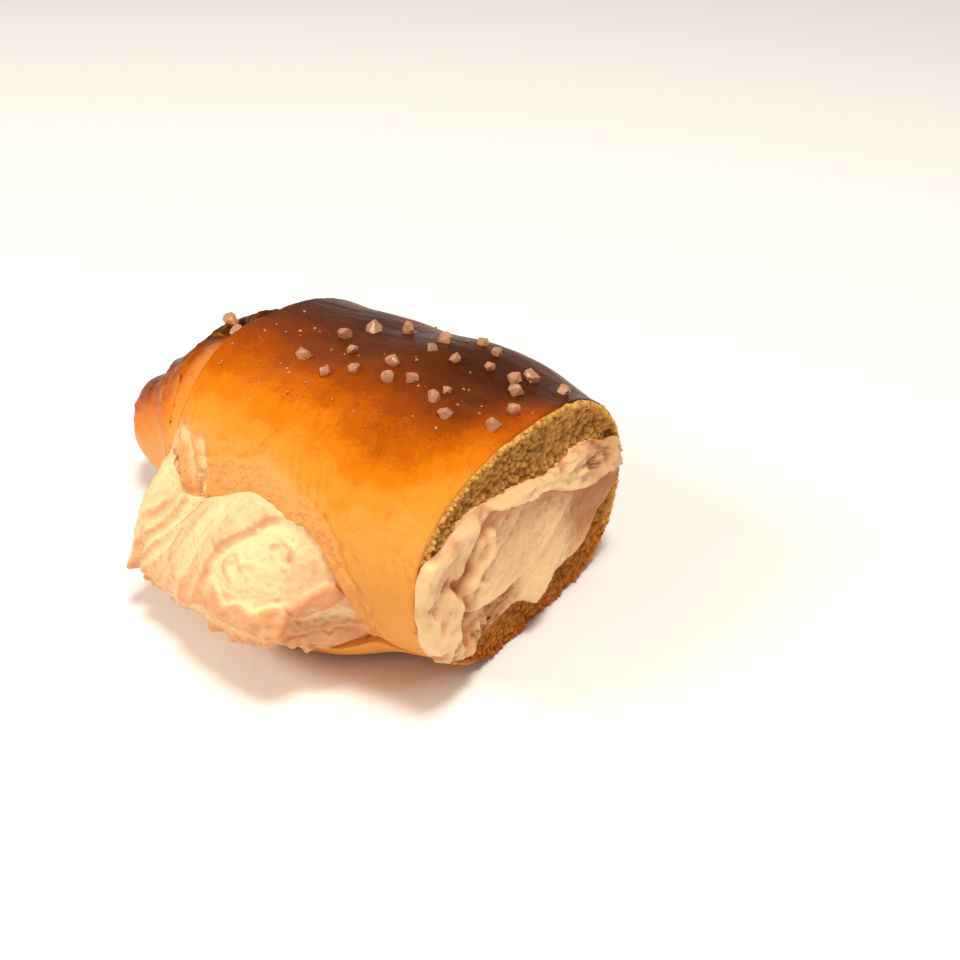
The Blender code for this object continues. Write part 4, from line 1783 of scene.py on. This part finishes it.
    def _spatula(self, points: Array, x: Array, share: Array) -> Array:
        """Streaks of the spatula, folds, swirls and lumps on the swell.

        Args:
            points: The swell's points.
            x: Their places along the roll, before leaning.
            share: Their share of the way across the slit.

        Returns:
            A height for each point.
        """
        noise, down = self.noise, share * self.slit_span
        warp = [0.0007 * noise.value(points / 0.006 + k) for k in (3, 7)]
        marks = (mark.scaled(self.slit_span) for mark in self.swell_marks)
        height = sum(mark.relief(x + warp[0], down + warp[1]) for mark in marks)
        facet = fall(x, 0.002, 0.012) * (1 - rise(share, 0.52, 0.16))
        across, along = x * 0.86 + down * 0.50 + warp[0] * 0.6, x * -0.50 + down * 0.86
        streaks = sum(streaks.on(noise, across, along) for streaks in self.spatula)
        height = height + streaks * (0.20 + 0.80 * facet)
        rough = np.maximum(rise(share, 0.56, 0.14), rise(x, 0.013, 0.008) * rise(share, 0.30, 0.15))
        height = height + rough * (self.curls.on(noise, points) + self.small_curls.on(noise, points + 0.2))
        bent = points + self.bend * np.stack([noise.value(points / 0.0070 + k) for k in (11, 13, 17)], -1)
        grain = 0.00014 * (1 - np.abs(noise.value(bent / 0.0011)) * 2.2)
        height = height + (1 - facet * 0.7) * self.crinkles.on(noise, bent) + grain
        lumps = self.lumps.on(noise, points + 0.1) - self.pocks.on(noise, points)
        return height + (1 - facet * 0.7) * lumps

    def _rim_outline(self, angle: Array, reach: Array) -> Array:
        """Distance of the smeared cream's edge from the pocket's line on the cut face.

        Args:
            angle: Angles round the line, in degrees.
            reach: Distances to the pocket's wall.

        Returns:
            A distance for each angle.
        """
        ring = circle(angle)
        ragged = self.noise.layered(ring, 0.16, 3) * 0.0006
        lobes = 0.0007 * np.abs(np.sin(np.radians(angle * 11 + 260 * self.noise.value(ring / 0.3))))
        edge = np.maximum(curve(angle, *zip(*self.face_edge)) + ragged, reach + 0.0002)
        over_rim = self.pocket.crust_reach(self.roll.cut, angle) + 0.0006 + lobes
        return edge + np.maximum(over_rim - edge, 0) * self.front_zone.share(angle)

    def _smears(self, y: Array, z: Array, inner: Array) -> tuple[Array, Array]:
        """Folds, streaks and curls of the cream on the cut face.

        Args:
            y: Places across the roll.
            z: Heights over the floor.
            inner: How far each place lies inside the smear's edge.

        Returns:
            A height for each place, and how shaded the place is beyond its hollows.
        """
        noise, flat = self.noise, np.stack([y * 0, y, z], axis=-1)
        warp = [0.0007 * noise.value(flat / 0.0055 + k) for k in (2, 6)]
        shape = sum(mark.relief(y + warp[0], z + warp[1]) for mark in self.face_marks)
        across, along = y * -0.47 + z * 0.88, y * 0.88 + z * 0.47
        coarse, fine = (streaks.on(noise, across, along) for streaks in self.face_streaks)
        front = fall(y, -0.0155, 0.006)
        torn = smooth((z - (0.0375 - np.maximum(y, 0) * 0.42)) / 0.0025) * rise(y, -0.016, 0.006)
        low = fall(z, 0.0185, 0.003) * fall(y, -0.002, 0.005)
        shape = shape + coarse + fine * (1 - front)
        shape = shape + 0.00012 * (1 - np.abs(noise.value(flat / 0.0012 + 9)) * 2.2)
        shape = shape + front * (0.0011 + sum(waves.on(noise, flat) for waves in self.front_lumps))
        curls = self.face_curls.on(noise, flat)
        shape = shape + torn * (0.0002 + 0.0010 * curls) + low * (0.0008 * curls - 0.0005)
        shape = shape + front * bell(inner - 0.0028, 0.0026) * (0.0008 + self.front_rim.on(noise, flat))
        tip = bell(y - 0.0035, 0.010) * bell(z - 0.0100, 0.008) * rise(y, -0.004, 0.004)
        shape = shape + 0.0014 * tip + self.face_waves.on(noise, flat)
        return shape, 0.45 * front + 0.35 * low + 0.62 * rise(y, 0.011, 0.012)

    def _face(self, rim: Array) -> tuple[Array, Array]:
        """The cream on the cut face, from the pocket's rim to the middle.

        Args:
            rim: The last section's points.

        Returns:
            The face's grid of points and the painted shade of each place.
        """
        pocket, roll = self.pocket, self.roll
        reach, angle = pocket.polar(rim[:, 1], rim[:, 2])
        edge = self._rim_outline(angle, reach)
        direction = circle(angle)[:, :2]
        middle = np.array([pocket.axis_y, pocket.axis_z])
        grid, lift = [], []
        for out, up in ((0.0, 0.0), (0.35, 0.10), (0.75, 0.22), (0.97, 0.42), (1.0, 0.62)):
            grid.append(middle + direction * (reach + (edge - reach) * out)[:, None])
            lift.append(np.full(len(rim), self.proud * up))
        for share in 1 - np.linspace(0.004, 1, self.face_rows) ** 1.15:
            grid.append(middle + direction * (edge * share)[:, None])
            lift.append(np.full(len(rim), self.proud * 0.8))
        grid, lift = np.stack(grid), np.stack(lift)
        y, z = grid[..., 0], grid[..., 1]
        inner = np.maximum(edge[None] - np.hypot(y - middle[0], z - middle[1]), 0)
        plump = self.proud * 0.3 * (1 - np.exp(-inner / 0.0008))
        shape, shaded = self._smears(y, z, inner)
        relief = lift + plump + shape * smooth(inner / 0.0012 + 0.10)
        x = roll.cut + y * math.tan(roll.turn) + np.maximum(relief, 0.00012)
        # Painted shade: darker in low places, in creases and in the shaded zones of the face.
        hollow_shade = np.clip(0.18 - shape / 0.0030 + shaded + 0.45 * creases(shape, 3, 0.0004), 0, 1)
        return np.stack([x, y, z], axis=-1), hollow_shade

    def build(self, finish: Material) -> Object:
        """Makes the cream.

        Args:
            finish: Its material.

        Returns:
            The cream's object.
        """
        pocket, peak = self.pocket, self.peak
        along = np.linspace(self.sections_from, self.roll.cut, self.stations)
        places = np.concatenate([[self.first_section], along])
        rings = np.stack([self._section(float(x)) for x in places])
        share = np.zeros(rings.shape[1])
        share[self.wall_columns :] = np.linspace(0, 1, self.slit_columns)
        in_slit = np.arange(len(share)) >= self.wall_columns
        out = np.array([self._outflow(float(x)) for x in places])[:, None]
        edge = rise(share, 0, 0.05) * fall(share, 1, 0.04) * in_slit
        x, share = (part.copy() for part in np.broadcast_arrays(places[:, None], share[None]))
        at_tip = np.exp(-(((x - peak.x) / 0.003) ** 2) - ((share - peak.share) / 0.10) ** 2)
        height = self._spatula(rings, x, share) * out**0.4 * edge * (1 - at_tip)
        rings = rings - grid_normals(rings, True) * height[..., None]
        rings[..., 2] = np.maximum(rings[..., 2], self.lowest)
        face, face_shade = self._face(rings[-1])
        start = np.array([rings[0, 0, 0], pocket.axis_y, pocket.axis_z])
        points = np.concatenate([rings[:1] * 0 + start, rings, face])
        obj = grid_object("cream_filling", points, around=True)

        # Painted shade on the swell: darker in low relief and creases, over its lower part and towards its
        # right end.
        hollow_shade = 0.18 - height / 0.0020 + 0.62 * rise(share, 0.34, 0.36) + 0.40 * rise(x, 0.010, 0.012)
        hollow_shade = hollow_shade + 0.8 * rise(x, 0.017, 0.006) * rise(share, 0.40, 0.2)
        hollow_shade = np.clip(hollow_shade, 0, 0.9) * (share > 0) + 0.55 * creases(height, 3, 0.00035)
        paint(obj, "hollow_shade", np.clip(np.concatenate([hollow_shade[:1] * 0, hollow_shade, face_shade]), 0, 1))
        # Marks the cut face, which takes the cream's warmer, darker colours of painted shade.
        cut = np.zeros((1 + len(rings) + len(face), rings.shape[1]))
        cut[len(rings)] = 0.6
        cut[len(rings) + 1 :] = 1
        paint(obj, "cut", cut)
        obj.data.materials.append(finish)
        return obj


@dataclass(frozen=True)
class SaltPatch:
    """A grid of salt over a stretch of the roll and a span of angles."""

    x_from: float
    x_to: float
    angle_from: float
    angle_to: float
    columns: int
    rows: int


@dataclass
class Salt:
    """Coarse crystals on top, in the solids' places, and fine grains between them."""

    roll: Roll
    seed: int = 23
    smallest: float = 0.0011
    largest: float = 0.0018
    skipped: float = 0.2
    jitter: float = 0.8
    sunk: float = 0.35
    stretch: tuple[float, float] = (0.75, 1.15)
    corners: int = 22
    roundness: float = 0.55
    boxiness: float = 0.42
    swollen: float = 1.05
    bevel: float = 0.06
    fine_grains: int = 64
    fine_x: tuple[float, float] = (-0.030, 0.043)
    fine_angle: tuple[float, float] = (90, 17)
    fine_half: tuple[float, float] = (0.00014, 0.00038)
    fine_stretch: tuple[float, float] = (0.8, 1.2)
    fine_sunk: float = 0.3
    patches: tuple[SaltPatch, ...] = (
        SaltPatch(-0.008, 0.0425, 58, 107, 8, 4),
        SaltPatch(-0.037, -0.027, 78, 100, 3, 1),
    )

    def _crystal(self, half: float, shape: Matrix, rng: np.random.Generator) -> BMesh:
        """One crystal: the bevelled hull of random points near a rounded box.

        Args:
            half: Half its size.
            shape: Its place, turn and stretch.
            rng: Where its corners are drawn from.

        Returns:
            Its mesh.
        """
        made = bmesh.new()
        for corner in rng.normal(size=(self.corners, 3)):
            corner = corner / max(np.linalg.norm(corner), 1e-6)
            boxy = corner / max(np.abs(corner).max(), 1e-6)
            made.verts.new(Vector((corner * self.roundness + boxy * self.boxiness) * half * self.swollen))
        bmesh.ops.convex_hull(made, input=made.verts)
        loose = [v for v in made.verts if not v.link_faces]
        bmesh.ops.delete(made, geom=loose, context="VERTS")
        edges, offset = made.edges[:], half * self.bevel
        bmesh.ops.bevel(made, geom=edges, offset=offset, segments=1, affect="EDGES", clamp_overlap=True)
        bmesh.ops.transform(made, matrix=shape, verts=made.verts)
        return made

    def _shape(self, x: float, angle: float, lift: float, turn: Euler, stretch: Array) -> Matrix:
        """Place, turn and stretch of a crystal that stands a little above the crust.

        Args:
            x: Place along the roll.
            angle: Angle round it, in degrees.
            lift: Height of its middle over the crust.
            turn: How it is turned.
            stretch: How it is stretched along its axes.

        Returns:
            All three in one matrix.
        """
        point = self.roll.points(np.array(x), np.array(angle))
        spot = Vector(point) + self.roll.normal(x, angle) * lift
        return Matrix.Translation(spot) @ turn.to_matrix().to_4x4() @ Matrix.Diagonal((*stretch, 1))

    @staticmethod
    def _joined(name: str, crystals: list[BMesh], finish: Material) -> Object:
        """All crystals of a kind as one object.

        Args:
            name: Name of the object.
            crystals: Their meshes, which are used up.
            finish: Their material.

        Returns:
            The object.
        """
        whole = bmesh.new()
        for crystal in crystals:
            mesh = bpy.data.meshes.new("crystal")
            crystal.to_mesh(mesh)
            crystal.free()
            whole.from_mesh(mesh)
            bpy.data.meshes.remove(mesh)
        mesh = bpy.data.meshes.new(name)
        whole.to_mesh(mesh)
        whole.free()
        mesh.materials.append(finish)
        obj = bpy.data.objects.new(name, mesh)
        bpy.context.scene.collection.objects.link(obj)
        return obj

    def _coarse(self, rng: np.random.Generator, shape_rng: np.random.Generator) -> list[BMesh]:
        """The crystals, patch by patch, at jittered places of a grid.

        Args:
            rng: Where places and sizes are drawn from.
            shape_rng: Where corners are drawn from.

        Returns:
            Their meshes.
        """
        made = []
        for patch in self.patches:
            for i in range(patch.rows * patch.columns):
                row, column = divmod(i, patch.columns)
                jitter_x, jitter_angle, skip, size = rng.random(4)
                turn = Euler(rng.uniform(0, math.tau, 3))
                stretch = rng.uniform(*self.stretch, 3)
                if skip < self.skipped:
                    continue
                share_x = (column + jitter_x * self.jitter) / patch.columns
                share_angle = (row + jitter_angle * self.jitter) / patch.rows
                x = patch.x_from + (patch.x_to - patch.x_from) * share_x
                angle = patch.angle_from + (patch.angle_to - patch.angle_from) * share_angle
                half = self.smallest + (self.largest - self.smallest) * size
                shape = self._shape(x, angle, half * self.sunk, turn, stretch)
                made.append(self._crystal(half, shape, shape_rng))
        return made

    def _fine(self, rng: np.random.Generator) -> list[BMesh]:
        """The fine grains, scattered over the top.

        Args:
            rng: Where all their numbers are drawn from.

        Returns:
            Their meshes.
        """
        made = []
        for _ in range(self.fine_grains):
            x, angle = rng.uniform(*self.fine_x), rng.normal(*self.fine_angle)
            half = rng.uniform(*self.fine_half)
            turn = Euler(rng.uniform(0, math.tau, 3))
            stretch = rng.uniform(*self.fine_stretch, 3)
            shape = self._shape(x, angle, half * self.fine_sunk, turn, stretch)
            made.append(self._crystal(half, shape, rng))
        return made

    def build(self, finish: Material) -> list[Object]:
        """Makes the crystals and the fine grains.

        Args:
            finish: Their material.

        Returns:
            The two objects.
        """
        shape_rng = np.random.default_rng(self.seed + 1)
        coarse = self._coarse(np.random.default_rng(self.seed), shape_rng)
        fine = self._fine(shape_rng)
        return [self._joined("salt_crystals", coarse, finish), self._joined("salt_grains", fine, finish)]


@dataclass(frozen=True)
class Lamp:
    """A square soft light: its name, place, size, power and colour."""

    name: str
    at: tuple[float, float, float]
    size: float
    power: float
    colour: Colour


@dataclass(frozen=True)
class Studio:
    """Floor, lights and camera."""

    camera_at: tuple[float, float, float] = (0.14696, -0.17371, 0.18007)
    camera_to: tuple[float, float, float] = (0.02427, 0.01521, 0.02234)
    lens: float = 47.0
    sensor: float = 36.0
    nearest: float = 0.01
    floor_half: float = 2.0
    floor_drop: float = 0.0002
    world: Colour = (255, 252, 248)
    world_strength: float = 0.33
    lit: tuple[float, float, float] = (0.0, 0.0, 0.025)
    lamps: tuple[Lamp, ...] = (
        Lamp("key", (-0.60, -0.66, 0.72), 0.32, 5.6, (255, 249, 238)),
        Lamp("overhead", (0.20, -0.08, 0.95), 0.22, 6.8, (255, 248, 236)),
    )

    @staticmethod
    def _aim(name: str, data: bpy.types.ID, at: tuple[float, ...], to: tuple[float, ...]) -> Object:
        """An object that stands at one point and looks at another.

        Args:
            name: Its name.
            data: Its light or camera.
            at: The point it stands at.
            to: The point it looks at.

        Returns:
            The object, linked to the scene.
        """
        obj = bpy.data.objects.new(name, data)
        obj.location = at
        obj.rotation_euler = (Vector(to) - Vector(at)).to_track_quat("-Z", "Y").to_euler()
        bpy.context.scene.collection.objects.link(obj)
        return obj

    def _floor(self) -> None:
        """Lays the floor."""
        low, high = -self.floor_half, self.floor_half
        corners = [[[low, low, 0], [low, high, 0]], [[high, low, 0], [high, high, 0]]]
        floor = grid_object("floor", np.array(corners, float), flip=True)
        floor.location.z = -self.floor_drop
        floor.data.materials.append(FloorFinish().build())

    def build(self) -> None:
        """Makes the floor, the lights, the world and the camera."""
        scene = bpy.context.scene
        scene.view_settings.view_transform = "Standard"
        scene.view_settings.look = "None"
        self._floor()
        world = bpy.data.worlds.new("studio")
        world.use_nodes = True
        background = world.node_tree.nodes["Background"]
        background.inputs["Color"].default_value = linear(self.world)
        background.inputs["Strength"].default_value = self.world_strength
        scene.world = world
        for lamp in self.lamps:
            data = bpy.data.lights.new(lamp.name, "AREA")
            data.size, data.energy, data.color = lamp.size, lamp.power, linear(lamp.colour)[:3]
            self._aim(lamp.name, data, lamp.at, self.lit)
        camera = bpy.data.cameras.new("camera")
        camera.lens, camera.sensor_width, camera.clip_start = self.lens, self.sensor, self.nearest
        scene.camera = self._aim("camera", camera, self.camera_at, self.camera_to)


def mount(obj: Object, slot: Slot, *nodes: str) -> None:
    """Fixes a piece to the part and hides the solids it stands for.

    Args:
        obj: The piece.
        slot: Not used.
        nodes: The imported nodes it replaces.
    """
    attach(obj, "root")
    if nodes:
        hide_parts(*nodes)
    LOG.info("%s: %d vertices, %d faces", obj.name, len(obj.data.vertices), len(obj.data.polygons))


def main() -> None:
    """Builds every piece in order."""
    logging.basicConfig(level=logging.INFO, format="%(name)s: %(message)s")
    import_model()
    roll = Roll()
    pocket = Pocket(roll)
    effects = Effects()
    mount(Crust(roll, pocket, Noise(5)).build(CrustFinish().build(effects)), Slot.CRUST, "bread")
    mount(CrumbFace(roll, pocket, Noise(8)).build(CrumbFinish().build(effects)), Slot.CRUST)
    mount(CreamFilling(roll, pocket, Noise(13)).build(CreamFinish().build(effects)), Slot.CREAM, "cream")
    for piece in Salt(roll).build(SaltFinish().build(effects)):
        mount(piece, Slot.CRUST)
    Studio().build()


if __name__ == "__main__":
    main()
